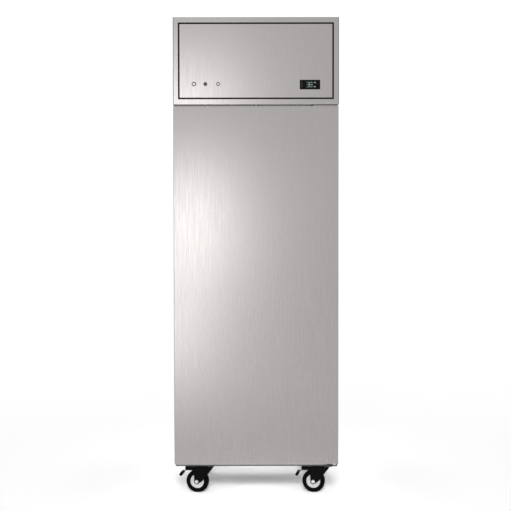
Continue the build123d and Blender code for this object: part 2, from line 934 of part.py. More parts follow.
with BuildPart() as controller_housing:
    block(
        (lens_x - lens_width / 2, lens_x + lens_width / 2),
        (lens_back_y, lens_back_y + controller_depth),
        (lens_z - lens_height / 2, lens_z + lens_height / 2),
    )
    # The flange clamps the edge of the cut-out from behind
    flange_front_y = front_y + fascia_sheet
    block(
        (
            lens_x - lens_width / 2 - controller_flange,
            lens_x + lens_width / 2 + controller_flange,
        ),
        (flange_front_y, flange_front_y + controller_flange_sheet),
        (
            lens_z - lens_height / 2 - controller_flange,
            lens_z + lens_height / 2 + controller_flange,
        ),
    )
    block(
        (lens_x - lens_width / 2 - lens_gap, lens_x + lens_width / 2 + lens_gap),
        (flange_front_y, lens_back_y),
        (lens_z - lens_height / 2 - lens_gap, lens_z + lens_height / 2 + lens_gap),
        Mode.SUBTRACT,
    )
    with BuildSketch(facing(lens_back_y)):
        with Locations(*[(key_x, z) for z in keys.values()]):
            RectangleRounded(
                key_width + 2 * seat_gap, key_height + 2 * seat_gap, key_radius + seat_gap
            )
    extrude(amount=-(key_length + key_travel - lens_thickness + seat_gap), mode=Mode.SUBTRACT)
pieces["controller_housing"] = controller_housing

for name, z in keys.items():
    with BuildPart() as key:
        with BuildSketch(facing(lens_front_y)):
            with Locations((key_x, z)):
                RectangleRounded(key_width, key_height, key_radius)
        extrude(amount=-key_length)
        fillet(key.faces().sort_by(Axis.Y)[0].edges(), key_edge_radius)
    pieces[name] = key

with BuildPart() as door_switch:
    switch_z = fascia_bottom_z + fascia_sheet
    block(
        centred(switch_width),
        (switch_y - switch_depth / 2 + fascia_sheet, switch_y + switch_depth / 2),
        (switch_z, switch_z + switch_height),
    )
    with Locations((0, switch_y, switch_z)):
        Cylinder(
            plunger_radius + seat_gap,
            plunger_length - fascia_gap_above_door + plunger_travel,
            align=(Align.CENTER, Align.CENTER, Align.MIN),
            mode=Mode.SUBTRACT,
        )
pieces["door_switch"] = door_switch

with BuildPart() as door_switch_plunger:
    with Locations((0, switch_y, door_top_z + seat_gap)):
        Cylinder(
            plunger_radius, plunger_length, align=(Align.CENTER, Align.CENTER, Align.MIN)
        )
    fillet(door_switch_plunger.faces().sort_by(Axis.Z)[0].edges(), plunger_radius / 2)
pieces["door_switch_plunger"] = door_switch_plunger

# Refrigeration unit

with BuildPart() as cassette_tray:
    block(centred(2 * tray_half), (tray_front_y, tray_back_y), (cabinet_top_z, tray_z + tray_rim))
    block(
        centred(2 * (tray_half - tray_sheet)),
        (tray_front_y + tray_sheet, tray_back_y - tray_sheet),
        (tray_z, tray_z + tray_rim),
        Mode.SUBTRACT,
    )
    cut_air_holes(cabinet_top_z, tray_z)
pieces["cassette_tray"] = cassette_tray

with BuildPart() as evaporator_hood:
    block(centred(hood_width), (hood_front_y, hood_back_y), (tray_z, tray_z + hood_height))
    fillet(evaporator_hood.edges().filter_by(Axis.Z), hood_wall / 2)
    block(
        centred(hood_width - 2 * hood_wall),
        (hood_front_y + hood_wall, hood_back_y - hood_wall),
        (tray_z, tray_z + hood_height - hood_wall),
        Mode.SUBTRACT,
    )
pieces["evaporator_hood"] = evaporator_hood


def tube_heights(height):
    """The heights of a coil's tubes, the first one a pitch above the tray."""
    return [tray_z + (i + 1) * tube_pitch for i in range(int(height / tube_pitch) - 2)]


def make_coil(x_span, front, depth, height):
    """A finned coil that stands on the tray: fins across X, end plates, and bends joining its tubes."""
    width = x_span[1] - x_span[0]
    fin_count = int((width - 2 * end_plate) / fin_pitch)
    middle_y = front + depth / 2
    with BuildPart() as coil:
        tubes = tube_heights(height)
        for i, (low, high) in enumerate(zip(tubes, tubes[1:])):
            # The bends join each tube to the next, at the left and the right end by turns
            x = x_span[i % 2]
            outward = tube_pitch / 2 if i % 2 else -tube_pitch / 2
            with BuildLine() as bend:
                ThreePointArc(
                    (x, middle_y, low), (x + outward, middle_y, (low + high) / 2), (x, middle_y, high)
                )
            with BuildSketch(bend.line ^ 0):
                Circle(tube_radius)
            sweep(path=bend.line)
        with BuildSketch(Plane.XY.offset(tray_z)):
            with Locations(((x_span[0] + x_span[1]) / 2, middle_y)):
                Rectangle(width, fin_web)
                with GridLocations(fin_pitch, 0, fin_count, 1):
                    Rectangle(fin_sheet, depth)
                with GridLocations(width - end_plate, 0, 2, 1):
                    Rectangle(end_plate, depth)
        extrude(amount=height)
    return coil


evaporator_coil = make_coil(centred(coil_width), coil_front_y, coil_depth, coil_height)
pieces["evaporator_coil"] = evaporator_coil
condenser_coil = make_coil(
    (condenser_left, condenser_right), condenser_front_y, condenser_depth, condenser_height
)
pieces["condenser_coil"] = condenser_coil


def make_fan(plane, radius):
    """A hub on the plane with raked blades and a shaft that points along the plane's normal."""
    blade_length = radius - hub_radius / 2
    with BuildPart(plane) as fan:
        Cylinder(hub_radius, hub_length, align=(Align.CENTER, Align.CENTER, Align.MIN))
        with Locations((0, 0, hub_length / 2)):
            with PolarLocations(hub_radius / 2 + blade_length / 2, blade_count):
                Box(blade_length, blade_chord, blade_sheet, rotation=(blade_angle, 0, 0))
        with Locations((0, 0, hub_length / 2)):
            Cylinder(radius, 2 * hub_length, mode=Mode.INTERSECT)
        with Locations((0, 0, hub_length / 2)):
            Cylinder(
                shaft_radius,
                hub_length / 2 + shaft_length,
                align=(Align.CENTER, Align.CENTER, Align.MIN),
            )
    return fan


def make_fan_motor(plane, ring_radius, ring_offset):
    """A motor past the hub of a fan on the plane, carried by arms on a flat ring round the hole."""
    bore_depth = shaft_length - motor_gap + seat_gap
    with BuildPart(plane) as motor:
        with Locations((0, 0, hub_length + motor_gap)):
            Cylinder(motor_radius, motor_length, align=(Align.CENTER, Align.CENTER, Align.MIN))
        with Locations((0, 0, ring_offset)):
            Cylinder(
                ring_radius + motor_ring,
                motor_arm_sheet,
                align=(Align.CENTER, Align.CENTER, Align.MIN),
            )
            Cylinder(
                ring_radius,
                motor_arm_sheet,
                align=(Align.CENTER, Align.CENTER, Align.MIN),
                mode=Mode.SUBTRACT,
            )
            with PolarLocations((motor_radius + ring_radius) / 2, motor_arm_count):
                Box(
                    ring_radius - motor_radius + motor_ring,
                    motor_arm,
                    motor_arm_sheet,
                    align=(Align.CENTER, Align.CENTER, Align.MIN),
                )
        with Locations((0, 0, hub_length + motor_gap)):
            Cylinder(
                motor_radius, motor_length, align=(Align.CENTER, Align.CENTER, Align.MIN)
            )
            Cylinder(
                shaft_radius + running_gap,
                bore_depth,
                align=(Align.CENTER, Align.CENTER, Align.MIN),
                mode=Mode.SUBTRACT,
            )
    return motor


evaporator_fan_z = room_ceiling_z + ceiling_fan_rise
evaporator_fan_plane = Plane((0, intake_y, evaporator_fan_z))
pieces["evaporator_fan"] = make_fan(evaporator_fan_plane, intake_radius - fan_tip_gap)
pieces["evaporator_fan_motor"] = make_fan_motor(
    evaporator_fan_plane, intake_radius, tray_z - evaporator_fan_z
)

condenser_fan_y = shroud_y + shroud_fan_setback
condenser_fan_plane = Plane(
    (condenser_x, condenser_fan_y, condenser_mid_z), x_dir=(1, 0, 0), z_dir=(0, 1, 0)
)
pieces["condenser_fan"] = make_fan(condenser_fan_plane, condenser_fan_radius)
pieces["condenser_fan_motor"] = make_fan_motor(
    condenser_fan_plane, condenser_fan_radius + fan_tip_gap, shroud_back_y - condenser_fan_y
)

with BuildPart() as condenser_shroud:
    shroud_x = (condenser_left, condenser_right)
    shroud_z = (tray_z, tray_z + condenser_height)
    block(shroud_x, (shroud_y, shroud_back_y), shroud_z)
    block(
        (shroud_x[0] + shroud_sheet, shroud_x[1] - shroud_sheet),
        (shroud_y, shroud_back_y - shroud_sheet),
        (shroud_z[0] + shroud_sheet, shroud_z[1] - shroud_sheet),
        Mode.SUBTRACT,
    )
    with BuildSketch(facing(shroud_back_y - shroud_sheet)):
        with Locations((condenser_x, condenser_mid_z)):
            Circle(condenser_fan_radius + fan_tip_gap)
    extrude(amount=-shroud_sheet, mode=Mode.SUBTRACT)
pieces["condenser_shroud"] = condenser_shroud

stub_z = compressor_z + stub_rise
foot_length = 2 * (compressor_radius + foot_overhang)
with BuildPart() as compressor:
    with Locations((condenser_x, compressor_y, compressor_z)):
        Cylinder(
            compressor_radius,
            compressor_height,
            align=(Align.CENTER, Align.CENTER, Align.MIN),
        )
    fillet(compressor.edges().filter_by(GeomType.CIRCLE).group_by(Axis.Z)[-1], compressor_dome)
    with Locations((condenser_x, compressor_y, compressor_z + compressor_height / 2)):
        Cylinder(compressor_radius + seam_reach, seam_height)
    with Locations((condenser_x, compressor_y, compressor_foot_z + foot_sheet / 2)):
        Box(foot_length, foot_width, foot_sheet)
    with BuildSketch(Plane.YZ.offset(condenser_x)):
        with Locations((compressor_y, stub_z)):
            Circle(pipe_radius)
    extrude(amount=compressor_radius + stub_length, both=True)
    # Rubber feet under the corners of the foot plate
    with Locations((condenser_x, compressor_y, tray_z)):
        with GridLocations(
            foot_length - 2 * grommet_radius, foot_width - 2 * grommet_radius, 2, 2
        ):
            Cylinder(
                grommet_radius, grommet_height, align=(Align.CENTER, Align.CENTER, Align.MIN)
            )
pieces["compressor"] = compressor


def add_pipe(points, bend_radius=pipe_bend):
    """Add a copper pipe along straight runs with rounded bends."""
    with BuildLine() as route:
        FilletPolyline(*points, radius=bend_radius)
    with BuildSketch(route.line ^ 0) as bore:
        Circle(pipe_radius)
    sweep(bore.sketch, path=route.line)


with BuildPart() as refrigerant_pipes:
    condenser_mid_y = condenser_front_y + condenser_depth / 2
    lower_pipe_z = tube_heights(condenser_height)[0]
    upper_pipe_z = tube_heights(condenser_height)[-1]
    discharge_x = condenser_x + compressor_radius + stub_length
    suction_x = condenser_x - compressor_radius - stub_length
    add_pipe(
        [
            (discharge_x, compressor_y, stub_z),
            (corridor_x, compressor_y, stub_z),
            (corridor_x, compressor_y, upper_pipe_z),
            (corridor_x, condenser_mid_y, upper_pipe_z),
            (condenser_right, condenser_mid_y, upper_pipe_z),
        ],
        pipe_bend / 2,
    )
    add_pipe(
        [
            (suction_x, compressor_y, stub_z),
            (suction_x - 2 * pipe_bend, compressor_y, stub_z),
            (suction_x - 2 * pipe_bend, hood_front_y, stub_z),
        ]
    )
    add_pipe(
        [
            (condenser_right, condenser_mid_y, lower_pipe_z),
            (corridor_x, condenser_mid_y, lower_pipe_z),
            (corridor_x, hood_front_y, lower_pipe_z),
        ]
    )
    # The filter drier sits on the liquid pipe
    with BuildSketch(facing(compressor_y)) as drier:
        with Locations((corridor_x, lower_pipe_z)):
            Circle(drier_radius)
    extrude(drier.sketch, amount=drier_length / 2, both=True)
pieces["refrigerant_pipes"] = refrigerant_pipes

unit_right = tray_half - tray_sheet - unit_margin
with BuildPart() as control_box:
    box_x = (condenser_right + pipe_corridor, unit_right)
    box_y = (condenser_front_y, condenser_front_y + box_depth)
    block(box_x, box_y, (tray_z, tray_z + box_height))
    fillet(control_box.edges().filter_by(Axis.Z), box_radius)
    # A groove marks the edge of the lid
    groove_z = tray_z + box_height - box_lid
    with BuildSketch(Plane.XY.offset(groove_z)):
        with Locations(((box_x[0] + box_x[1]) / 2, (box_y[0] + box_y[1]) / 2)):
            RectangleRounded(box_x[1] - box_x[0], box_y[1] - box_y[0], box_radius)
            RectangleRounded(
                box_x[1] - box_x[0] - 2 * box_groove,
                box_y[1] - box_y[0] - 2 * box_groove,
                box_radius - box_groove,
                mode=Mode.SUBTRACT,
            )
    extrude(amount=box_groove, mode=Mode.SUBTRACT)
pieces["control_box"] = control_box

with BuildPart() as condensate_tray:
    pan_span_y = (hood_front_y - unit_margin - pan_depth, hood_front_y - unit_margin)
    block(box_x, pan_span_y, (tray_z, tray_z + pan_height))
    block(
        (box_x[0] + pan_sheet, box_x[1] - pan_sheet),
        (pan_span_y[0] + pan_sheet, pan_span_y[1] - pan_sheet),
        (tray_z + pan_sheet, tray_z + pan_height),
        Mode.SUBTRACT,
    )
pieces["condensate_tray"] = condensate_tray

# Door

bush_spans = ((door_bottom_z, door_bottom_z + bush_length), (door_top_z - bush_length, door_top_z))
grip_x = (-door_half, -door_half + grip_depth + grip_wall)
grip_y = (front_y + grip_setback, front_y + grip_setback + grip_width + 2 * grip_wall)
grip_z = (door_bottom_z + grip_end, door_top_z - grip_end)


def cut_bush_holes(radius):
    """Cut the holes that the hinge bushes stand in."""
    for span in bush_spans:
        with Locations((hinge_x, hinge_y, sum(span) / 2)):
            Cylinder(radius, span[1] - span[0], mode=Mode.SUBTRACT)


with BuildPart() as door_outer_skin:
    skin_back_y = door_back_y - skin
    block(centred(2 * door_half), (front_y, skin_back_y), (door_bottom_z, door_top_z))
    fillet(door_outer_skin.faces().sort_by(Axis.Y)[0].edges(), door_edge_radius)
    inner_skin_x = centred(2 * (door_half - skin))
    inner_skin_z = (door_bottom_z + skin, door_top_z - skin)
    with BuildSketch(facing(skin_back_y)):
        with Locations((0, door_mid_z)):
            Rectangle(2 * (door_half - skin), door_height - 2 * skin)
    extrude(amount=door_depth - 2 * skin, mode=Mode.SUBTRACT)
    block((grip_x[0], grip_x[0] + skin), grip_y, grip_z, Mode.SUBTRACT)
    cut_bush_holes(bush_radius + hole_gap)
pieces["door_outer_skin"] = door_outer_skin

with BuildPart() as door_inner_skin:
    plug_half = room_half - plug_margin
    plug_size_z = room_height - 2 * plug_margin
    block(centred(2 * door_half), (door_back_y - skin, door_back_y), (door_bottom_z, door_top_z))
    with BuildSketch(facing(door_back_y)):
        with Locations(opening_middle):
            RectangleRounded(2 * plug_half, plug_size_z, plug_radius)
    extrude(amount=-plug_height)
    fillet(door_inner_skin.faces().sort_by(Axis.Y)[-1].edges(), plug_edge_radius)
    with BuildSketch(facing(door_back_y - skin)):
        with Locations(opening_middle):
            RectangleRounded(
                2 * (plug_half - skin), plug_size_z - 2 * skin, plug_radius - skin
            )
    extrude(amount=-plug_height, mode=Mode.SUBTRACT)
pieces["door_inner_skin"] = door_inner_skin

with BuildPart() as door_foam:
    block(inner_skin_x, (front_y + skin, door_back_y - skin), inner_skin_z)
    with BuildSketch(facing(door_back_y - skin)):
        with Locations(opening_middle):
            RectangleRounded(
                2 * (plug_half - skin), plug_size_z - 2 * skin, plug_radius - skin
            )
    extrude(amount=-plug_height)
    block(
        (-door_half, grip_x[1]),
        grip_y,
        grip_z,
        Mode.SUBTRACT,
    )
    cut_bush_holes(bush_radius + hole_gap)
pieces["door_foam"] = door_foam

with BuildPart() as door_grip:
    block(grip_x, grip_y, grip_z)
    block(
        (grip_x[0], grip_x[1] - grip_wall),
        (grip_y[0] + grip_wall, grip_y[1] - grip_wall),
        (grip_z[0] + grip_wall, grip_z[1] - grip_wall),
        Mode.SUBTRACT,
    )
    # A thin lip covers the cut edges of the skin
    with BuildSketch(Plane.YZ.offset(grip_x[0])):
        with Locations((sum(grip_y) / 2, sum(grip_z) / 2)):
            Rectangle(
                grip_y[1] - grip_y[0] + 2 * grip_lip, grip_z[1] - grip_z[0] + 2 * grip_lip
            )
            Rectangle(
                grip_y[1] - grip_y[0] - 2 * grip_wall,
                grip_z[1] - grip_z[0] - 2 * grip_wall,
                mode=Mode.SUBTRACT,
            )
    extrude(amount=-grip_lip_sheet)
pieces["door_grip"] = door_grip

with BuildPart() as door_gasket:
    gasket_y = (door_back_y, cabinet_front_y - seat_gap)
    with BuildSketch(facing(gasket_y[0])):
        with Locations((0, door_mid_z)):
            Rectangle(2 * (door_half - gasket_inset), door_height - 2 * gasket_inset)
            Rectangle(
                2 * (door_half - gasket_inset - gasket_width),
                door_height - 2 * gasket_inset - 2 * gasket_width,
                mode=Mode.SUBTRACT,
            )
    extrude(amount=-(gasket_y[1] - gasket_y[0]))
    fillet(
        door_gasket.faces().sort_by(Axis.Y)[-1].edges(), gasket_groove_depth
    )
    # A fold line runs round the soft outer side
    with BuildSketch(facing(door_back_y + gasket_groove_depth)):
        with Locations((0, door_mid_z)):
            Rectangle(2 * (door_half - gasket_inset), door_height - 2 * gasket_inset)
            Rectangle(
                2 * (door_half - gasket_inset - gasket_groove_depth),
                door_height - 2 * gasket_inset - 2 * gasket_groove_depth,
                mode=Mode.SUBTRACT,
            )
    extrude(amount=-gasket_groove / 2, mode=Mode.SUBTRACT)
pieces["door_gasket"] = door_gasket

with BuildPart() as door_hinge_bushes:
    for span in bush_spans:
        with Locations((hinge_x, hinge_y, sum(span) / 2)):
            Cylinder(bush_radius, span[1] - span[0])
    # The door's weight rests on the collar of the lower bush
    collar_span = (door_bottom_z - lower_bracket_gap + seat_gap, door_bottom_z)
    with Locations((hinge_x, hinge_y, sum(collar_span) / 2)):
        Cylinder(collar_radius, collar_span[1] - collar_span[0])
    with Locations((hinge_x, hinge_y, door_mid_z)):
        Cylinder(pin_radius + running_gap, cabinet_height, mode=Mode.SUBTRACT)
pieces["door_hinge_bushes"] = door_hinge_bushes

# Casters

cheek_inner = tyre_width / 2 + fork_side_gap
cheek_outer = cheek_inner + fork_sheet
crown_rise = crown_z - wheel_radius
pedal_pivot = (-pedal_pivot_back, crown_rise - pedal_pivot_drop)
neck_bend = (pedal_pivot[0] - neck_reach, pedal_pivot[1] - neck_drop)
paddle_top = (neck_bend[0] - arm_reach, neck_bend[1] - arm_drop)
paddle_end = (paddle_top[0] - paddle_reach, paddle_top[1] - paddle_drop)

with BuildPart() as caster_plates:
    for level in casters.values():
        with BuildSketch(level.offset(plate_z)):
            RectangleRounded(plate_length, plate_width, plate_corner)
            with GridLocations(bolt_spacing_x, bolt_spacing_y, 2, 2):
                Circle(bolt_radius + hole_gap, mode=Mode.SUBTRACT)
        extrude(amount=plate_sheet)
        with BuildSketch(level.offset(plate_race_z)):
            Circle(race_radius)
        extrude(amount=plate_race_height)
        pin_z = crown_z - race_gap - king_pin_head_height
        with BuildSketch(level.offset(pin_z)):
            Circle(king_pin_radius)
        extrude(amount=plate_race_z - pin_z)
        with BuildSketch(level.offset(pin_z)):
            Circle(king_pin_head_radius)
        extrude(amount=king_pin_head_height)
pieces["caster_plates"] = caster_plates


def make_fork(level, braked):
    """A bent steel fork with its axle; a braked one has lugs and a pin for the pedal."""
    upright = caster_upright(level)
    crown_back = lug_reach if braked else fork_back
    with BuildPart() as fork:
        for side in (-1, 1):
            middle = side * (cheek_inner + cheek_outer) / 2
            with BuildSketch(upright.offset(middle)):
                Circle(fork_boss_radius)
                with Locations((fork_lobe_reach, fork_lobe_rise)):
                    Circle(fork_lobe_radius)
                with Locations((-fork_back, crown_rise)):
                    Rectangle(
                        fork_back + fork_front, fork_sheet, align=(Align.MIN, Align.MIN)
                    )
                make_hull()
                if braked:
                    with Locations((-lug_reach, crown_rise + fork_sheet)):
                        Rectangle(lug_reach, lug_height, align=(Align.MIN, Align.MAX))
            extrude(amount=fork_sheet / 2, both=True)
        with BuildSketch(level.offset(crown_z)):
            with Locations((-caster_trail - crown_back, 0)):
                Rectangle(
                    crown_back + fork_front, 2 * cheek_outer, align=(Align.MIN, Align.CENTER)
                )
        extrude(amount=fork_sheet)
        with BuildSketch(level.offset(crown_z + fork_sheet)):
            Circle(race_radius)
        extrude(amount=fork_race_height)
        with BuildSketch(level.offset(crown_z)):
            Circle(king_pin_radius + running_gap)
        extrude(amount=fork_top_z - crown_z, mode=Mode.SUBTRACT)
        with BuildSketch(upright):
            Circle(axle_radius + hole_gap)
        extrude(amount=cheek_outer, both=True, mode=Mode.SUBTRACT)
        with BuildSketch(upright):
            Circle(axle_radius)
        extrude(amount=cheek_outer, both=True)
        for side in (-1, 1):
            head_plane = upright.offset(side * (cheek_outer + axle_head_height / 2))
            with BuildSketch(head_plane):
                RegularPolygon(axle_head_radius, hex_sides)
            extrude(amount=axle_head_height / 2, both=True)
        if braked:
            with BuildSketch(upright):
                with Locations(pedal_pivot):
                    Circle(pedal_pin_radius)
            extrude(amount=cheek_outer, both=True)
    return fork


def make_wheel_core(upright):
    """The hub, web and rim of a wheel."""
    rim_radius = wheel_radius - tyre_thickness
    with BuildPart() as core:
        with BuildSketch(upright):
            Circle(wheel_hub_radius)
        extrude(amount=cheek_inner - race_gap, both=True)
        with BuildSketch(upright):
            Circle(rim_radius)
        extrude(amount=wheel_web / 2, both=True)
        with BuildSketch(upright):
            Circle(rim_radius)
            Circle(rim_radius - wheel_rim, mode=Mode.SUBTRACT)
        extrude(amount=tyre_width / 2 - wheel_rim, both=True)
        with BuildSketch(upright):
            Circle(axle_radius + running_gap)
        extrude(amount=cheek_inner, both=True, mode=Mode.SUBTRACT)
    return core


def make_tyre(upright):
    """A rubber tyre with rounded shoulders."""
    with BuildPart() as tyre:
        with BuildSketch(upright):
            Circle(wheel_radius)
        extrude(amount=tyre_width / 2, both=True)
        fillet(tyre.edges().filter_by(GeomType.CIRCLE), tyre_round)
        with BuildSketch(upright):
            Circle(wheel_radius - tyre_thickness)
        extrude(amount=tyre_width / 2, both=True, mode=Mode.SUBTRACT)
    return tyre


def make_pedal(upright):
    """A brake pedal: a barrel on its pin, a narrow bent neck and a thick sloping paddle."""
    width = cheek_inner - pedal_side_gap
    with BuildPart() as pedal:
        with BuildSketch(upright):
            with Locations(pedal_pivot):
                Circle(pedal_barrel_radius)
        extrude(amount=width, both=True)
        with BuildSketch(upright):
            with BuildLine() as neck:
                Polyline(pedal_pivot, neck_bend, paddle_top)
            trace(neck.line, neck_thickness)
        extrude(amount=neck_width / 2, both=True)
        with BuildSketch(upright):
            with Locations(paddle_top):
                Circle(paddle_thickness / 2)
            with Locations(paddle_end):
                Circle(paddle_tip / 2)
            make_hull()
        extrude(amount=width, both=True)
        with BuildSketch(upright):
            with Locations(pedal_pivot):
                Circle(pedal_pin_radius + running_gap)
        extrude(amount=width, both=True, mode=Mode.SUBTRACT)
    return pedal


for corner, level in casters.items():
    upright = caster_upright(level)
    braked = corner.startswith("front")
    pieces[f"{corner}_fork"] = make_fork(level, braked)
    pieces[f"{corner}_wheel_core"] = make_wheel_core(upright)
    pieces[f"{corner}_tyre"] = make_tyre(upright)
    if braked:
        pieces[f"{corner}_pedal"] = make_pedal(upright)

for name, piece in pieces.items():
    piece.part.label = name
    export_step(piece.part, f"parts/{name}.step")
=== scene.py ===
import json
import math

import bmesh
import bpy
from mathutils import Matrix, Vector


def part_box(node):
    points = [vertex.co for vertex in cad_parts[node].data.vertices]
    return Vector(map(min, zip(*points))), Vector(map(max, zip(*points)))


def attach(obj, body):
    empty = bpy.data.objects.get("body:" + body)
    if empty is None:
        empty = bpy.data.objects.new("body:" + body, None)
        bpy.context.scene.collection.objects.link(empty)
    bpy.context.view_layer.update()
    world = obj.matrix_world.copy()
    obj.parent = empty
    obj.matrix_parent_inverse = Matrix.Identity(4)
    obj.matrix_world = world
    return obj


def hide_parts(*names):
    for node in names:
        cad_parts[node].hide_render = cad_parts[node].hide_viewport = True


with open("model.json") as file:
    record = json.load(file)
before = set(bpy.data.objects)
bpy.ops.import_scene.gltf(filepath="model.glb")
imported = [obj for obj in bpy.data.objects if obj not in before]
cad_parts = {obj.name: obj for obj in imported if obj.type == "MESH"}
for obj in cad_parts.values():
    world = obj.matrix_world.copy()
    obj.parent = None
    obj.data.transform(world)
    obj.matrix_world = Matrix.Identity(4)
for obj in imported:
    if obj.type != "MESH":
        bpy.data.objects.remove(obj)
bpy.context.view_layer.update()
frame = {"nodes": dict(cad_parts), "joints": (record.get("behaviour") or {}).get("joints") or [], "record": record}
nodes = frame["nodes"]
joints = {joint["name"]: joint for joint in frame["joints"]}
MM = 0.001

# Camera and light

CAMERA_PLACE = (-0.0030, -4.915, 1.2224)
CAMERA_LENS = 71.38
CAMERA_SENSOR = 36
CAMERA_FAR = 100
CAMERA_PITCH = 1.6
CAMERA_ROLL = -0.08


def make_camera():
    """The camera of the photograph: nearly level, a little above the middle of the door."""
    camera = bpy.data.objects.new("camera", bpy.data.cameras.new("camera"))
    bpy.context.scene.collection.objects.link(camera)
    camera.data.lens = CAMERA_LENS
    camera.data.sensor_width = CAMERA_SENSOR
    camera.data.clip_end = CAMERA_FAR
    turn = Matrix.Rotation(math.radians(90 - CAMERA_PITCH), 4, "X")
    roll = Matrix.Rotation(math.radians(CAMERA_ROLL), 4, "Z")
    camera.matrix_world = Matrix.Translation(CAMERA_PLACE) @ turn @ roll
    bpy.context.scene.camera = camera


def add_area_light(name, place, target, size, power):
    """A soft rectangular light that faces a target."""
    light = bpy.data.lights.new(name, "AREA")
    light.shape = "RECTANGLE"
    light.size, light.size_y = size
    light.energy = power
    lamp = bpy.data.objects.new(name, light)
    bpy.context.scene.collection.objects.link(lamp)
    lamp.location = place
    lamp.rotation_euler = (Vector(target) - Vector(place)).to_track_quat("-Z", "Y").to_euler()
    return lamp


WORLD_STRENGTH = 1.06
FLOOR_REACH = 30
# Each faces the door: place, where it aims, size and power
KEY_LIGHTS = [
    ("key", (-0.62, -4.9, 1.27), (-0.31, 0, 1.24), (0.38, 0.855), 9.7),
    ("low_key", (-0.85, -4.9, 0.257), (-0.42, 0, 0.74), (0.58, 0.80), 7.2),
]
# Each lights the floor alone: distance, where it aims, elevation, size, spread and power
FLOOR_LIGHTS = [
    ("front_wash", -2.2, -0.32, 30, (0.72, 0.36), 26, 2.1),
    ("rear_wash", 2.2, 0.36, 25, (0.72, 0.25), 18, 1.2),
    ("top_wash", 3.5, 0, 90, (1.2, 1.2), 40, 2.4),
]


def make_studio():
    """White surroundings, a pale floor and soft lights."""
    world = bpy.data.worlds.new("studio")
    world.use_nodes = True
    world.node_tree.nodes["Background"].inputs["Color"].default_value = (1, 1, 1, 1)
    world.node_tree.nodes["Background"].inputs["Strength"].default_value = WORLD_STRENGTH
    bpy.context.scene.world = world
    bpy.context.scene.view_settings.view_transform = "Standard"
    bpy.context.scene.view_settings.look = "None"
    floor_mesh = bpy.data.meshes.new("floor")
    quarters = ((-1, -1), (1, -1), (1, 1), (-1, 1))
    corners = [(u * FLOOR_REACH, v * FLOOR_REACH, 0) for u, v in quarters]
    floor_mesh.from_pydata(corners, [], [(0, 1, 2, 3)])
    floor = bpy.data.objects.new("floor", floor_mesh)
    bpy.context.scene.collection.objects.link(floor)
    paint = principled("floor_paint", (0.95, 0.95, 0.95), 0.9, Specular_IOR_Level=0.1)
    relief(paint, object_noise(paint, (3, 3, 3)), 0.2 * MM)
    floor_mesh.materials.append(paint)
    for name, place, target, size, power in KEY_LIGHTS:
        add_area_light(name, place, target, size, power)
    lit = bpy.data.collections.new("floor_wash_receivers")
    lit.objects.link(floor)
    for name, depth, target_y, elevation, size, spread, power in FLOOR_LIGHTS:
        rise = math.radians(elevation)
        place = (0, target_y + depth * math.cos(rise), abs(depth) * math.sin(rise))
        wash = add_area_light(name, place, (0, target_y, 0), size, power)
        wash.data.spread = math.radians(spread)
        wash.visible_camera = False
        wash.visible_glossy = False
        wash.light_linking.receiver_collection = lit


# Materials

# Most of a noise lies between these two values
NOISE_LOW, NOISE_HIGH = 0.3, 0.7
PLAIN_SPECULAR = 0.5


def principled(name, color, roughness, metallic=0.0, **constants):
    """A material whose constant values stand on its shader's own sockets."""
    material = bpy.data.materials.new(name)
    material.use_nodes = True
    shader = material.node_tree.nodes["Principled BSDF"]
    shader.inputs["Base Color"].default_value = (*color, 1)
    shader.inputs["Roughness"].default_value = roughness
    shader.inputs["Metallic"].default_value = metallic
    for socket, value in constants.items():
        shader.inputs[socket.replace("_", " ")].default_value = value
    return material


def object_noise(material, frequency, detail=2.0):
    """Noise in the object's own space, with a frequency per metre along each axis."""
    tree = material.node_tree
    place = tree.nodes.new("ShaderNodeTexCoord")
    stretch = tree.nodes.new("ShaderNodeMapping")
    noise = tree.nodes.new("ShaderNodeTexNoise")
    stretch.inputs["Scale"].default_value = frequency
    noise.inputs["Scale"].default_value = 1
    noise.inputs["Detail"].default_value = detail
    tree.links.new(place.outputs["Object"], stretch.inputs["Vector"])
    tree.links.new(stretch.outputs["Vector"], noise.inputs["Vector"])
    return noise.outputs[0]


def vary(material, source, socket, low, high):
    """Let a noise move one socket of the shader between two values."""
    tree = material.node_tree
    spread = tree.nodes.new("ShaderNodeMapRange")
    spread.inputs["From Min"].default_value = NOISE_LOW
    spread.inputs["From Max"].default_value = NOISE_HIGH
    spread.inputs["To Min"].default_value = low
    spread.inputs["To Max"].default_value = high
    tree.links.new(source, spread.inputs["Value"])
    tree.links.new(spread.outputs["Result"], tree.nodes["Principled BSDF"].inputs[socket])


def tint(material, source, dark, light):
    """Let a noise mix the base colour from two colours."""
    tree = material.node_tree
    mix = tree.nodes.new("ShaderNodeMix")
    mix.data_type = "RGBA"
    colours = [socket for socket in mix.inputs if socket.type == "RGBA"]
    colours[0].default_value = (*dark, 1)
    colours[1].default_value = (*light, 1)
    result = [socket for socket in mix.outputs if socket.type == "RGBA"][0]
    tree.links.new(source, mix.inputs["Factor"])
    tree.links.new(result, tree.nodes["Principled BSDF"].inputs["Base Color"])


def relief(material, source, depth, lean=None):
    """Raise the surface by a noise; a lean turns its normals a little, as in a bowed sheet."""
    tree = material.node_tree
    bump = tree.nodes.new("ShaderNodeBump")
    bump.inputs["Strength"].default_value = 1
    bump.inputs["Distance"].default_value = depth
    tree.links.new(source, bump.inputs["Height"])
    tree.links.new(bump.outputs["Normal"], tree.nodes["Principled BSDF"].inputs["Normal"])
    if lean:
        geometry = tree.nodes.new("ShaderNodeNewGeometry")
        add = tree.nodes.new("ShaderNodeVectorMath")
        unit = tree.nodes.new("ShaderNodeVectorMath")
        unit.operation = "NORMALIZE"
        add.inputs[1].default_value = lean
        tree.links.new(geometry.outputs["Normal"], add.inputs[0])
        tree.links.new(add.outputs[0], unit.inputs[0])
        tree.links.new(unit.outputs[0], bump.inputs["Normal"])


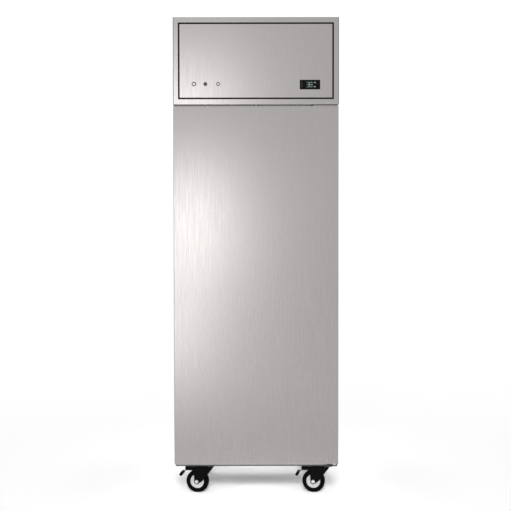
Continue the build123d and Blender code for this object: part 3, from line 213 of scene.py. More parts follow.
def shade(color, factor):
    """A colour made darker or lighter."""
    return [min(1, part * factor) for part in color]


STEEL_CLOUDS = (2.5, 2.5, 1.5)
STREAK_SPREAD = 0.035
STREAK_DEPTH = 0.008 * MM


def brushed_steel(name, color, roughness, grain, lean=None):
    """Satin stainless steel: fine streaks along the grain, and faint cloudy patches."""
    material = principled(name, color, roughness, 1.0)
    streaks = object_noise(material, grain)
    patches = object_noise(material, STEEL_CLOUDS)
    tint(material, patches, shade(color, 0.97), shade(color, 1.03))
    vary(material, streaks, "Roughness", roughness - STREAK_SPREAD, roughness + STREAK_SPREAD)
    relief(material, streaks, STREAK_DEPTH, lean)
    return material


# Frequency per metre of the fine skin and of the cloudy patches, and the height of the skin
MOULDED_SKIN = (900, 30, 0.02 * MM)
PAINTED_SKIN = (400, 12, 0.03 * MM)


def add_skin(material, color, skin, roughness_range, shades):
    """A fine skin, and faint cloudy patches in the colour and the roughness."""
    fine, cloudy, depth = skin
    patches = object_noise(material, (cloudy, cloudy, cloudy))
    vary(material, patches, "Roughness", *roughness_range)
    tint(material, patches, shade(color, shades[0]), shade(color, shades[1]))
    relief(material, object_noise(material, (fine, fine, fine)), depth)


def moulded(name, color, roughness, specular=PLAIN_SPECULAR):
    """Moulded plastic or rubber with a fine skin."""
    material = principled(name, color, roughness, Specular_IOR_Level=specular)
    add_skin(material, color, MOULDED_SKIN, (roughness - 0.05, roughness + 0.05), (0.9, 1.1))
    return material


def painted(name, color, roughness, metallic=0.0, specular=PLAIN_SPECULAR):
    """Paint or plating on metal: a faint orange peel."""
    material = principled(name, color, roughness, metallic, Specular_IOR_Level=specular)
    add_skin(material, color, PAINTED_SKIN, (roughness - 0.04, roughness + 0.06), (0.93, 1.05))
    return material


def glowing(name, color, strength):
    """Lit segments behind the lens."""
    return principled(
        name, color, 0.4, Emission_Color=(*color, 1), Emission_Strength=strength
    )


STEEL = (0.343, 0.325, 0.322)
STEEL_ROUGHNESS = 0.275
UPRIGHT_GRAIN = (1300, 1300, 12)
LEVEL_GRAIN = (12, 1300, 1300)
FASCIA_LEAN = (0, 0, -0.097)
# How each material is made, then its colour, its roughness and what else it needs
MATERIALS = {
    "stainless_steel": (brushed_steel, STEEL, STEEL_ROUGHNESS, UPRIGHT_GRAIN),
    "fascia_steel": (brushed_steel, STEEL, STEEL_ROUGHNESS, UPRIGHT_GRAIN, FASCIA_LEAN),
    # Dark steel for the frame's rounded edges: painted shade
    "dark_steel": (brushed_steel, (0.10, 0.10, 0.10), 0.4, UPRIGHT_GRAIN),
    "shade_steel": (brushed_steel, (0.10, 0.10, 0.10), 0.5, LEVEL_GRAIN),
    "coil_aluminium": (brushed_steel, (0.62, 0.63, 0.65), 0.4, LEVEL_GRAIN),
    "aluminium_sheet": (brushed_steel, (0.60, 0.61, 0.62), 0.42, LEVEL_GRAIN),
    "copper": (brushed_steel, (0.70, 0.36, 0.22), 0.32, (200, 200, 200)),
    "coated_steel": (painted, (0.60, 0.61, 0.61), 0.45),
    # A plain grey paint, made darker than the steel as painted shade for the base pan under the cabinet
    "base_paint": (painted, (0.40, 0.40, 0.40), 0.6),
    "zinc_plate": (painted, (0.62, 0.63, 0.65), 0.32, 1.0),
    "coated_wire": (painted, (0.66, 0.67, 0.68), 0.35),
    "black_paint": (painted, (0.012, 0.012, 0.013), 0.4),
    "caster_black": (painted, (0.0015, 0.0015, 0.0015), 0.35, 0.0, 0.05),
    "foam": (moulded, (0.80, 0.72, 0.50), 0.9),
    "white_plastic": (moulded, (0.72, 0.73, 0.73), 0.45),
    "black_plastic": (moulded, (0.018, 0.018, 0.02), 0.4),
    "black_lens": (moulded, (0.001, 0.001, 0.001), 0.15, 0.1),
    "light_cover": (moulded, (0.85, 0.86, 0.86), 0.3),
    "gasket_rubber": (moulded, (0.09, 0.09, 0.09), 0.6),
    "seal_rubber": (moulded, (0.008, 0.008, 0.008), 0.7),
    # Grey rubber for the strips in the gap above the door: painted light
    "strip_rubber": (moulded, (0.19, 0.185, 0.185), 0.7),
    "wheel_grey": (moulded, (0.82, 0.81, 0.81), 0.4),
    "tyre_black": (moulded, (0.0015, 0.0015, 0.0015), 0.5, 0.04),
    "white_print": (moulded, (0.70, 0.72, 0.72), 0.5),
    "dark_print": (moulded, (0.05, 0.045, 0.045), 0.5),
    "digit_glow": (glowing, (0.10, 0.17, 0.155), 0.72),
    "icon_glow": (glowing, (0.045, 0.028, 0.05), 0.5),
}
materials = {name: make(name, *values) for name, (make, *values) in MATERIALS.items()}
NODE_MATERIALS = {
    "fascia_frame": "fascia_steel",
    "fascia_panel": "fascia_steel",
    # The base pan is darker than the steel: painted shade under the cabinet
    "base_pan": "base_paint",
    "front_left_pedal": "caster_black",
    "front_right_pedal": "caster_black",
}


def dress_nodes():
    """Give each CAD node the material of its slot, or one of its own."""
    for entry in frame["record"]["subparts"]:
        name = NODE_MATERIALS.get(entry["node"], entry["material_slot"])
        for slot in nodes[entry["node"]].material_slots:
            slot.material = materials[name]


# Making pieces

SHARP_ANGLE = math.radians(35)
HEAD_EDGE = 0.3
WELD = 0.01 * MM


def finish_piece(piece, body, slot_name, material, replaced=()):
    """Put a piece in the scene: its material, its body and the nodes that it stands for."""
    bpy.context.scene.collection.objects.link(piece)
    piece.data.materials.append(materials[material or slot_name])
    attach(piece, body)
    if replaced:
        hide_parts(*replaced)
    return piece


def mesh_piece(name, shape, body, slot_name, material=None, replaced=()):
    """Turn a bmesh into a piece with smooth faces and sharp edges."""
    mesh = bpy.data.meshes.new(name)
    bmesh.ops.recalc_face_normals(shape, faces=shape.faces)
    shape.to_mesh(mesh)
    shape.free()
    for face in mesh.polygons:
        face.use_smooth = True
    mesh.set_sharp_from_angle(angle=SHARP_ANGLE)
    return finish_piece(bpy.data.objects.new(name, mesh), body, slot_name, material, replaced)


def wire_piece(name, paths, radius, body, slot_name, material=None, replaced=()):
    """Round wires along paths; each path is a list of points and whether it is closed."""
    curve = bpy.data.curves.new(name, "CURVE")
    curve.dimensions = "3D"
    curve.bevel_depth = radius
    curve.bevel_resolution = 2
    curve.use_fill_caps = True
    for points, closed in paths:
        spline = curve.splines.new("POLY")
        spline.points.add(len(points) - 1)
        for point, place in zip(spline.points, points):
            point.co = (*place, 1)
        spline.use_cyclic_u = closed
        spline.use_smooth = True
    return finish_piece(bpy.data.objects.new(name, curve), body, slot_name, material, replaced)


def add_box(shape, low, high, bevel=0.0):
    """A box between two corners, with rounded edges."""
    low, high = Vector(low), Vector(high)
    made = bmesh.ops.create_cube(shape, size=1)["verts"]
    place = Matrix.LocRotScale((low + high) / 2, None, high - low)
    bmesh.ops.transform(shape, matrix=place, verts=made)
    if bevel:
        edges = list({edge for vert in made for edge in vert.link_edges})
        bmesh.ops.bevel(
            shape, geom=edges, offset=bevel, segments=2, profile=0.5, affect="EDGES"
        )


def add_turned(shape, profile, centre, axis, segments=32):
    """Turn a closed profile of (radius, distance along the axis) round an axis."""
    centre, axis = Vector(centre), Vector(axis).normalized()
    across = axis.orthogonal().normalized()
    other = axis.cross(across)
    rings = []
    for radius, along in profile:
        if radius == 0:
            rings.append([shape.verts.new(centre + axis * along)])
            continue
        ring = []
        for i in range(segments):
            angle = 2 * math.pi * i / segments
            spoke = across * math.cos(angle) + other * math.sin(angle)
            ring.append(shape.verts.new(centre + axis * along + spoke * radius))
        rings.append(ring)
    for ring, following in zip(rings, rings[1:] + rings[:1]):
        if len(ring) == 1 and len(following) == 1:
            continue
        for i in range(segments):
            j = (i + 1) % segments
            corners = [ring[i % len(ring)], ring[j % len(ring)]]
            corners += [following[j % len(following)], following[i % len(following)]]
            shape.faces.new(list(dict.fromkeys(corners)))


def add_disc(shape, centre, axis, radius, height, segments=32):
    """A plain disc that stands on its centre."""
    profile = [(0, 0), (radius, 0), (radius, height), (0, height)]
    add_turned(shape, profile, centre, axis, segments)


def add_head(shape, centre, axis, radius, height, segments):
    """A screw head: six segments make a hexagon, many make a round one."""
    edge = min(height, radius) * HEAD_EDGE
    profile = [(0, 0), (radius, 0), (radius, height - edge), (radius - edge, height), (0, height)]
    add_turned(shape, profile, centre, axis, segments)


def add_prism(shape, outline, low, high, to_space):
    """A flat outline raised between two depths; to_space maps (u, v, depth) to a point."""
    bottom = [shape.verts.new(to_space(u, v, low)) for u, v in outline]
    top = [shape.verts.new(to_space(u, v, high)) for u, v in outline]
    shape.faces.new(bottom)
    shape.faces.new(top)
    for i in range(len(outline)):
        j = (i + 1) % len(outline)
        shape.faces.new([bottom[i], bottom[j], top[j], top[i]])


def arc(centre, radius, start, sweep, steps=6):
    """Points along an arc, with its angles in degrees."""
    points = []
    for step in range(steps + 1):
        turn = math.radians(start + sweep * step / steps)
        points.append((centre[0] + radius * math.cos(turn), centre[1] + radius * math.sin(turn)))
    return points


def in_metres(profile):
    """A profile that is given in millimetres."""
    return [(radius * MM, along * MM) for radius, along in profile]


def upright(u, v, depth):
    """A point of a front view, at a depth."""
    return (u, depth, v)


def islands(node):
    """The corners of each separate solid of a node."""
    shape = bmesh.new()
    shape.from_mesh(nodes[node].data)
    bmesh.ops.remove_doubles(shape, verts=shape.verts, dist=WELD)
    left = set(shape.verts)
    found = []
    while left:
        group = set()
        edge = [left.pop()]
        while edge:
            vert = edge.pop()
            group.add(vert)
            for link in vert.link_edges:
                other = link.other_vert(vert)
                if other in left:
                    left.discard(other)
                    edge.append(other)
        low = Vector([min(vert.co[k] for vert in group) for k in range(3)])
        high = Vector([max(vert.co[k] for vert in group) for k in range(3)])
        found.append((low, high))
    shape.free()
    return found


def middle(low, high):
    """The centre of a box."""
    return (low + high) / 2


# Controller on the fascia

FRONTWARD = (0, -1, 0)
FIGURES = "38"
SEGMENTS = {"3": "abcdg", "8": "abcdefg"}
DIGIT_SIZE = (10.5 * MM, 21 * MM)
DIGIT_PITCH = 13.5 * MM
DIGIT_STROKE = 2.1 * MM
DIGIT_SET = 236.2 * MM
PRINT_DEPTH = 0.12 * MM
DOT_INSET = 9 * MM
DOT_PITCH = 8 * MM
DOT_RADIUS = 2 * MM
CHEVRON_REACH = 4.6 * MM
CHEVRON_RISE = 2 * MM
CHEVRON_STROKE = 1.5 * MM


def add_segment(shape, start, end, face_y):
    """One bar of a digit, pointed at both ends."""
    (x0, z0), (x1, z1) = start, end
    half = DIGIT_STROKE / 2
    if z0 == z1:
        outline = [
            (x0, z0), (x0 + half, z0 + half), (x1 - half, z0 + half),
            (x1, z0), (x1 - half, z0 - half), (x0 + half, z0 - half),
        ]
    else:
        outline = [
            (x0, z0), (x0 + half, z0 + half), (x0 + half, z1 - half),
            (x0, z1), (x0 - half, z1 - half), (x0 - half, z0 + half),
        ]
    add_prism(shape, outline, face_y - PRINT_DEPTH, face_y, upright)


def make_display():
    """Two lit digits and three dim dots beside them."""
    low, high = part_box("controller_lens")
    face_y, centre_z = low.y, (low.z + high.z) / 2
    width, height = DIGIT_SIZE
    bottom, top = centre_z - height / 2, centre_z + height / 2
    digits = bmesh.new()
    for place, digit in enumerate(FIGURES):
        left = DIGIT_SET + (place - 1) * DIGIT_PITCH + (DIGIT_PITCH - width) / 2
        right = left + width
        bars = {
            "a": ((left, top), (right, top)),
            "b": ((right, centre_z), (right, top)),
            "c": ((right, bottom), (right, centre_z)),
            "d": ((left, bottom), (right, bottom)),
            "e": ((left, bottom), (left, centre_z)),
            "f": ((left, centre_z), (left, top)),
            "g": ((left, centre_z), (right, centre_z)),
        }
        for name in SEGMENTS[digit]:
            add_segment(digits, *bars[name], face_y)
    mesh_piece("display_digits", digits, "fascia", "black_lens", "digit_glow")
    dots = bmesh.new()
    for step in (-1, 0, 1):
        centre = (low.x + DOT_INSET, face_y, centre_z + step * DOT_PITCH)
        add_disc(dots, centre, FRONTWARD, DOT_RADIUS, PRINT_DEPTH)
    mesh_piece("display_icons", dots, "fascia", "black_lens", "icon_glow")


def make_key_marks():
    """A chevron on each of the two keys."""
    reach, rise, stroke = CHEVRON_REACH, CHEVRON_RISE, CHEVRON_STROKE
    chevron = [
        (-reach, -rise), (0, rise), (reach, -rise),
        (reach, -rise - stroke), (0, rise - stroke), (-reach, -rise - stroke),
    ]
    for node, body, way in (("key_up", "up_key", 1), ("key_down", "down_key", -1)):
        low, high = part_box(node)
        centre = middle(low, high)
        outline = [(centre.x + u, centre.z + way * (v + stroke / 2)) for u, v in chevron]
        shape = bmesh.new()
        add_prism(shape, outline, low.y - PRINT_DEPTH, low.y, upright)
        mesh_piece(f"{node}_chevron", shape, body, "black_plastic", "white_print")


# Sheet and setback of the black strips that are painted shade deep in the gap round the panel
SHADE_STRIP_SHEET = 0.3 * MM
SHADE_STRIP_SETBACK = 1.6 * MM
PANEL_SHADE_DEPTH = 12 * MM
# Radius and flat band of the dark steel on the frame's rounded edges, which is painted shade
EDGE_SHADE_RADIUS = 1.5 * MM
EDGE_SHADE_BAND = 1.3 * MM


def add_ring_strip(shape, low, high, depth, levels):
    """Thin strips up both sides of an upright rectangle, and across it at each level."""
    (x0, z0), (x1, z1) = low, high
    y0, y1 = depth
    for x in (x0, x1 - SHADE_STRIP_SHEET):
        add_box(shape, (x, y0, z0), (x + SHADE_STRIP_SHEET, y1, z1))
    for z in levels:
        add_box(shape, (x0, y0, z), (x1, y1, z + SHADE_STRIP_SHEET))


def make_fascia_edges():
    """Black strips in the gap round the panel, and dark steel on the rounded edges of the frame: both are painted
    shade.
    """
    seal_low, seal_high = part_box("fascia_seal")
    low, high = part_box("fascia_panel")
    # Black strips on the walls of the window are painted shade, for the dark inside of the gap
    window = bmesh.new()
    depth = (low.y + SHADE_STRIP_SETBACK, seal_low.y)
    corners = [(seal_low.x, seal_low.z), (seal_high.x, seal_high.z)]
    add_ring_strip(window, *corners, depth, (seal_low.z, seal_high.z - SHADE_STRIP_SHEET))
    mesh_piece("window_painted_shade", window, "cabinet", "seal_rubber")
    # Black strips round the back of the panel's edges are painted shade too
    panel = bmesh.new()
    depth = (low.y + SHADE_STRIP_SETBACK, low.y + PANEL_SHADE_DEPTH)
    corners = [(low.x - SHADE_STRIP_SHEET, low.z - SHADE_STRIP_SHEET), (high.x + SHADE_STRIP_SHEET, high.z)]
    add_ring_strip(panel, *corners, depth, [low.z - SHADE_STRIP_SHEET])
    mesh_piece("panel_painted_shade", panel, "fascia", "seal_rubber")
    low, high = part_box("fascia_frame")
    # Dark steel on the frame's rounded outer edges is painted shade on those edges
    edge_shades = bmesh.new()
    shade_band = EDGE_SHADE_RADIUS + EDGE_SHADE_BAND
    rounding = arc((EDGE_SHADE_RADIUS, EDGE_SHADE_RADIUS), EDGE_SHADE_RADIUS, 270, -90)
    section = [(shade_band, 0), *rounding, (0, shade_band), (shade_band, shade_band)]
    for side, edge_x in ((-1, low.x), (1, high.x)):
        outline = [(edge_x - side * u, low.y + v) for u, v in section]
        add_prism(edge_shades, outline, low.z + EDGE_SHADE_RADIUS, high.z - EDGE_SHADE_RADIUS, lambda u, v, d: (u, v, d))
    mesh_piece("fascia_edge_shade", edge_shades, "cabinet", "stainless_steel", "dark_steel")


STRIP_SETBACK = 5 * MM
STRIP_SHEET = 1.2 * MM
STRIP_END = 2 * MM
SWITCH_CLEARANCE = 3 * MM
STRIP_CLEARANCE = 0.8 * MM
# Proud sheet and height of the dark strip that is painted shade along the foot of the front frame
BASE_SHADE_SHEET = 0.3 * MM
BASE_SHADE_HEIGHT = 5.5 * MM


def make_gap_strips():
    """A grey strip in the gap above the door, which is painted light, and a dark strip along the foot of the front
    frame, which is painted shade.
    """
    frame_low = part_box("fascia_frame")[0]
    door_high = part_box("door_outer_skin")[1]
    switch_low, switch_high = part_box("door_switch_plunger")
    bracket_left = min(low.x for low, high in islands("hinge_brackets"))
    # Grey rubber strips in the gap above the door are painted light, for the light seen in that gap
    painted_gap_light = bmesh.new()
    front = frame_low.y + STRIP_SETBACK
    for left, right in (
        (frame_low.x + STRIP_END, switch_low.x - SWITCH_CLEARANCE),
        (switch_high.x + SWITCH_CLEARANCE, bracket_left - STRIP_END),
    ):
        add_box(
            painted_gap_light,
            (left, front, door_high.z + STRIP_CLEARANCE),
            (right, front + STRIP_SHEET, frame_low.z),
        )
    mesh_piece("painted_gap_light_strips", painted_gap_light, "cabinet", "gasket_rubber", "strip_rubber")
    front_low, front_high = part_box("face_frame")
    # A dark steel strip is painted shade along the foot of the front frame
    shaded_edge = bmesh.new()
    add_box(
        shaded_edge,
        (front_low.x, front_low.y - BASE_SHADE_SHEET, front_low.z),
        (front_high.x, front_low.y, front_low.z + BASE_SHADE_HEIGHT),
    )
    mesh_piece("base_painted_shade", shaded_edge, "cabinet", "stainless_steel", "shade_steel")


MARK_HEIGHT = 1855.4 * MM
# Each mark's place across, outer radius and inner radius, in millimetres
MARKS = [(-274.4, 10, 6), (-224.0, 8.5, 0), (-167.4, 8.5, 5)]


def make_fascia_marks():
    """Three small generic marks in a row: a ring, a disc and a smaller ring."""
    face_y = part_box("fascia_panel")[0].y
    marks = bmesh.new()
    for x, outer, inner in MARKS:
        profile = [
            (inner * MM, 0), (outer * MM, 0), (outer * MM, PRINT_DEPTH), (inner * MM, PRINT_DEPTH),
        ]
        add_turned(marks, profile, (x * MM, face_y, MARK_HEIGHT), FRONTWARD)
    mesh_piece("fascia_marks", marks, "fascia", "stainless_steel", "dark_print")


# Door gasket

# The folded section: inward from the edge and back from the front, in millimetres
GASKET_PROFILE = [
    (2, 0), (0.6, 1.2), (0, 2.6), (2.4, 3.6), (2.4, 4.4), (0, 5.4), (0, 8.4), (1.2, 9.7),
    (16.8, 9.7), (18, 8.4), (18, 6.4), (16, 5.4), (17.6, 4), (16, 0),
]


def make_gasket():
    """A folded profile carried round the door with mitred corners."""
    low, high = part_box("door_gasket")
    shape = bmesh.new()
    rings = []
    for inward, out in GASKET_PROFILE:
        inset, y = inward * MM, low.y + out * MM
        rings.append(
            [
                shape.verts.new((low.x + inset, y, low.z + inset)),
                shape.verts.new((high.x - inset, y, low.z + inset)),
                shape.verts.new((high.x - inset, y, high.z - inset)),
                shape.verts.new((low.x + inset, y, high.z - inset)),
            ]
        )
    for ring, following in zip(rings, rings[1:] + rings[:1]):
        for i in range(4):
            j = (i + 1) % 4
            shape.faces.new([ring[i], ring[j], following[j], following[i]])
    mesh_piece("gasket", shape, "door", "gasket_rubber", replaced=["door_gasket"])


# Shelves and fan guards

SHELF_FRAME_RADIUS = 3.6 * MM
SHELF_WIRE_RADIUS = 1.9 * MM
SHELF_WIRE_PITCH = 25 * MM
SHELF_BRACES = 4
SHELF_CORNER = 18 * MM


def make_shelves():
    """Welded wire shelves: a round frame, braces under it and close wires on top."""
    frames, wires = [], []
    for low, high in islands("wire_shelves"):
        frame_z = low.z + SHELF_FRAME_RADIUS
        wire_z = high.z - SHELF_WIRE_RADIUS
        left, right = low.x + SHELF_FRAME_RADIUS, high.x - SHELF_FRAME_RADIUS
        front, back = low.y + SHELF_FRAME_RADIUS, high.y - SHELF_FRAME_RADIUS
        centres = [
            (right - SHELF_CORNER, back - SHELF_CORNER),
            (left + SHELF_CORNER, back - SHELF_CORNER),
            (left + SHELF_CORNER, front + SHELF_CORNER),
            (right - SHELF_CORNER, front + SHELF_CORNER),
        ]
        outline = []
        for quarter, centre in enumerate(centres):
            outline += [(x, y, frame_z) for x, y in arc(centre, SHELF_CORNER, 90 * quarter, 90)]
        frames.append((outline, True))
        for i in range(SHELF_BRACES):
            y = front + (back - front) * (i + 1) / (SHELF_BRACES + 1)
            frames.append(([(left, y, frame_z), (right, y, frame_z)], False))
        count = int((right - left - 2 * SHELF_WIRE_PITCH) / SHELF_WIRE_PITCH) + 1
        first = (left + right) / 2 - (count - 1) * SHELF_WIRE_PITCH / 2
        path = [(front, frame_z), (front, wire_z), (back, wire_z), (back, frame_z)]
        for i in range(count):
            x = first + i * SHELF_WIRE_PITCH
            wires.append(([(x, y, z) for y, z in path], False))
    wire_piece("shelf_frames", frames, SHELF_FRAME_RADIUS, "cabinet", "coated_wire")
    wire_piece(
        "shelf_wires", wires, SHELF_WIRE_RADIUS, "cabinet", "coated_wire", replaced=["wire_shelves"]
    )


GUARD_WIRE = 1.2 * MM
GUARD_STEPS = 48
GUARD_SPOKES = 4
GUARD_SETBACK = 5 * MM
# Radii of the rings, in millimetres
CEILING_RINGS = (20, 34, 48, 62, 76, 90, 96)
CONDENSER_RINGS = (48, 60, 72, 84, 96, 108, 119)


def make_guard(name, centre, up, rings):
    """A round fan guard: rings on straight spokes."""
    across, up = Vector((1, 0, 0)), Vector(up)
    paths = []
    for ring in rings:
        turns = arc((0, 0), ring * MM, 0, 360, GUARD_STEPS)[:-1]
        paths.append(([centre + across * u + up * v for u, v in turns], True))
    for u, v in arc((0, 0), rings[-1] * MM, 0, 180, GUARD_SPOKES)[:-1]:
        spoke = across * u + up * v
        paths.append(([centre - spoke, centre + spoke], False))
    wire_piece(name, paths, GUARD_WIRE, "cabinet", "zinc_plate")


def make_fan_guards():
    """One guard in the ceiling of the room and one before the condenser fan."""
    centre = middle(*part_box("evaporator_fan"))
    centre.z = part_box("interior_light")[1].z - GUARD_WIRE
    make_guard("ceiling_guard", centre, (0, 1, 0), CEILING_RINGS)
    centre = middle(*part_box("condenser_fan"))
    centre.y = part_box("condenser_fan_motor")[0].y + GUARD_SETBACK
    make_guard("condenser_guard", centre, (0, 0, 1), CONDENSER_RINGS)


# Back and lid

LOUVRE_LENGTH = 158 * MM
LOUVRE_REACH = 5 * MM
LOUVRE_HEIGHT = 14 * MM
LOUVRE_COLUMNS = (-200 * MM, 0, 200 * MM)
LOUVRE_ROWS = 9
LOUVRE_PITCH = 26 * MM
LOUVRE_TAPER = 6 * MM
LOUVRE_SHOULDER = 4


def make_louvres():
    """Pressed hoods over the slots in the back of the machine housing."""
    low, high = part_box("machine_housing")
    first_z = (low.z + high.z) / 2 - LOUVRE_PITCH * (LOUVRE_ROWS - 1) / 2
    shape = bmesh.new()
    for x in LOUVRE_COLUMNS:
        for row in range(LOUVRE_ROWS):
            z = first_z + row * LOUVRE_PITCH
            section = []
            for rise, out in arc((0, 0), 1, 0, 90):
                section.append((high.y + LOUVRE_REACH * out, z + LOUVRE_HEIGHT * (rise - 0.5)))
            sides = []
            for way in (-1, 1):
                side = []
                for i, (y, edge_z) in enumerate(section):
                    taper = LOUVRE_TAPER if i >= LOUVRE_SHOULDER else 0
                    edge_x = x + way * (LOUVRE_LENGTH / 2 - taper)
                    side.append(shape.verts.new((edge_x, y, edge_z)))
                sides.append(side)
            left, right = sides
            for i in range(len(section) - 1):
                shape.faces.new([left[i], right[i], right[i + 1], left[i + 1]])
            for side in sides:
                foot = shape.verts.new((side[0].co.x, high.y, section[-1][1]))
                shape.faces.new([*side, foot])
    mesh_piece("louvres", shape, "cabinet", "stainless_steel")


SCREW_RADIUS = 4 * MM
SCREW_HEIGHT = 2.2 * MM
SCREW_SIDES = 20
SCREW_INSET = 12 * MM
SCREW_ROWS = 7
SCREW_COLUMNS = (-180 * MM, 0, 180 * MM)
FLUSH_RISE = 0.15 * MM


def make_sheet_screws():
    """Round-headed screws that hold the back, the lid and the machine housing."""
    low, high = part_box("back_panel")
    housing_low, housing_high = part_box("machine_housing")
    seats = []
    run = high.z - low.z - 2 * SCREW_INSET
    for i in range(SCREW_ROWS):
        z = low.z + SCREW_INSET + run * i / (SCREW_ROWS - 1)
        seats += [(low.x + SCREW_INSET, z), (high.x - SCREW_INSET, z)]
    for x in SCREW_COLUMNS:
        for bottom, top in ((low.z, high.z), (housing_low.z, housing_high.z)):
            seats += [(x, bottom + SCREW_INSET), (x, top - SCREW_INSET)]
    shape = bmesh.new()
    for x, z in seats:
        add_head(shape, (x, high.y, z), (0, 1, 0), SCREW_RADIUS, SCREW_HEIGHT, SCREW_SIDES)
    lid_low, lid_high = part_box("machine_lid")
    seat_z = lid_high.z - SCREW_HEIGHT + FLUSH_RISE
    for x in (lid_low.x + SCREW_INSET, 0, lid_high.x - SCREW_INSET):
        for y in (lid_low.y + SCREW_INSET, lid_high.y - SCREW_INSET):
            add_head(shape, (x, y, seat_z), (0, 0, 1), SCREW_RADIUS, SCREW_HEIGHT, SCREW_SIDES)
    mesh_piece("sheet_screws", shape, "cabinet", "zinc_plate")


# A dished screw head: shares of its radius, and heights in millimetres
PAN_HEAD = [(0, 0), (1, 0), (0.9, 1.4), (0.6, 2.6), (0.3, 3.0), (0.3, 1.6), (0, 1.6)]
PAN_HEAD_HEIGHT = 3 * MM
BOLT_HEAD_HEIGHT = 5.3 * MM
BOLT_WASHER_RADIUS = 8.5 * MM
BOLT_WASHER_SHEET = 1 * MM
FIXING_SIDES = 24


def make_fixings():
    """The screws of the hinge brackets and the bolts of the caster plates."""
    downward = (0, 0, -1)
    shape = bmesh.new()
    for low, high in islands("fixing_screws"):
        centre = middle(low, high)
        size = high - low
        radius = size.x / 2
        if size.y > size.z:
            profile = [(radius * share, height * MM) for share, height in PAN_HEAD]
            seat = (centre.x, low.y + PAN_HEAD_HEIGHT, centre.z)
            add_turned(shape, profile, seat, FRONTWARD, FIXING_SIDES)
        else:
            seat = (centre.x, centre.y, low.z + BOLT_HEAD_HEIGHT)
            add_head(shape, seat, downward, radius, BOLT_HEAD_HEIGHT, 6)
            add_disc(shape, seat, downward, BOLT_WASHER_RADIUS, BOLT_WASHER_SHEET, FIXING_SIDES)
    mesh_piece("fixings", shape, "cabinet", "zinc_plate", replaced=["fixing_screws"])


FLANGE_LENGTH = 79 * MM
FLANGE_SHEET = 3 * MM
FLANGE_COVER = 0.3 * MM
PLATE_LENGTH = 55 * MM
COLLAR_REACH = 10 * MM
# Sheet, rise and rounding of the black strip that is painted shade on the lower plate's front edge
SHADED_EDGE_SHEET = 2.2 * MM
SHADED_EDGE_RISE = 2.7 * MM
SHADED_EDGE_ROUNDING = 0.3 * MM


def make_brackets():
    """The upper hinge bracket in steel with a cover on its flange, and the lower one in black.

    The lower one carries a light sheet on its top, which is painted light, behind a black strip on its front edge,
    which is painted shade.
    """
    door_low, door_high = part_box("door_outer_skin")
    door_middle = (door_low.z + door_high.z) / 2
    for name, upper, material, replaced in (
        ("upper_bracket", True, "stainless_steel", ["hinge_brackets"]),
        ("lower_bracket", False, "black_paint", []),
    ):
        shape = bmesh.new()
        shape.from_mesh(nodes["hinge_brackets"].data)
        other = [vert for vert in shape.verts if (vert.co.z > door_middle) != upper]
        bmesh.ops.delete(shape, geom=other, context="VERTS")
        mesh_piece(name, shape, "cabinet", "stainless_steel", material, replaced)
    upper, lower = sorted(islands("hinge_brackets"), key=lambda corners: -corners[0].z)
    left, face_y = upper[0].x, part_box("face_frame")[0].y - FLANGE_SHEET
    cover = bmesh.new()
    add_box(
        cover,
        (left, face_y - FLANGE_COVER, lower[0].z + FLANGE_SHEET + FLANGE_COVER),
        (left + FLANGE_LENGTH, face_y, door_low.z),
    )
    mesh_piece("flange_cover", cover, "cabinet", "stainless_steel")
    plate_left, plate_front = lower[1].x - PLATE_LENGTH, lower[0].y
    plate_low, plate_top = lower[0].z, lower[0].z + FLANGE_SHEET
    collar_left = joints["door_hinge"]["pos_m"][0] - COLLAR_REACH
    # A light sheet on the lower plate's top is painted light, and a black strip on its front edge is painted shade
    lit_top, shaded_edge = bmesh.new(), bmesh.new()
    add_box(
        lit_top,
        (plate_left, plate_front + SHADED_EDGE_SHEET, plate_top),
        (collar_left, face_y, plate_top + FLANGE_COVER),
    )
    mesh_piece("painted_lit_top", lit_top, "cabinet", "white_plastic", "light_cover")
    add_box(
        shaded_edge,
        (plate_left, plate_front - SHADED_EDGE_SHEET, plate_low - SHADED_EDGE_SHEET),
        (collar_left, plate_front + SHADED_EDGE_SHEET, plate_top + SHADED_EDGE_RISE),
        SHADED_EDGE_ROUNDING,
    )
    mesh_piece("bracket_painted_shade", shaded_edge, "cabinet", "stainless_steel", "black_paint")


# Casters

# Half of the wheel's section: radius and distance from its middle, in millimetres
DISC_PROFILE = [
    (5.1, 18.5), (12, 18.5), (13, 17.5), (13.5, 9), (15.5, 7), (25, 7.5), (27, 9), (28, 12.5),
    (29, 13.5), (32, 13.5),
]
DISC_RIBS = 8
# The two ends of a rib: radius, half width and height over its foot, in millimetres
RIB_ENDS = [(12.5, 1.6, 8), (27.5, 1.1, 3.5)]
RIB_FOOT = 6.5 * MM
RIB_FACES = [(0, 1, 3, 2), (4, 5, 7, 6), (0, 1, 5, 4), (2, 3, 7, 6), (0, 2, 6, 4), (1, 3, 7, 5)]


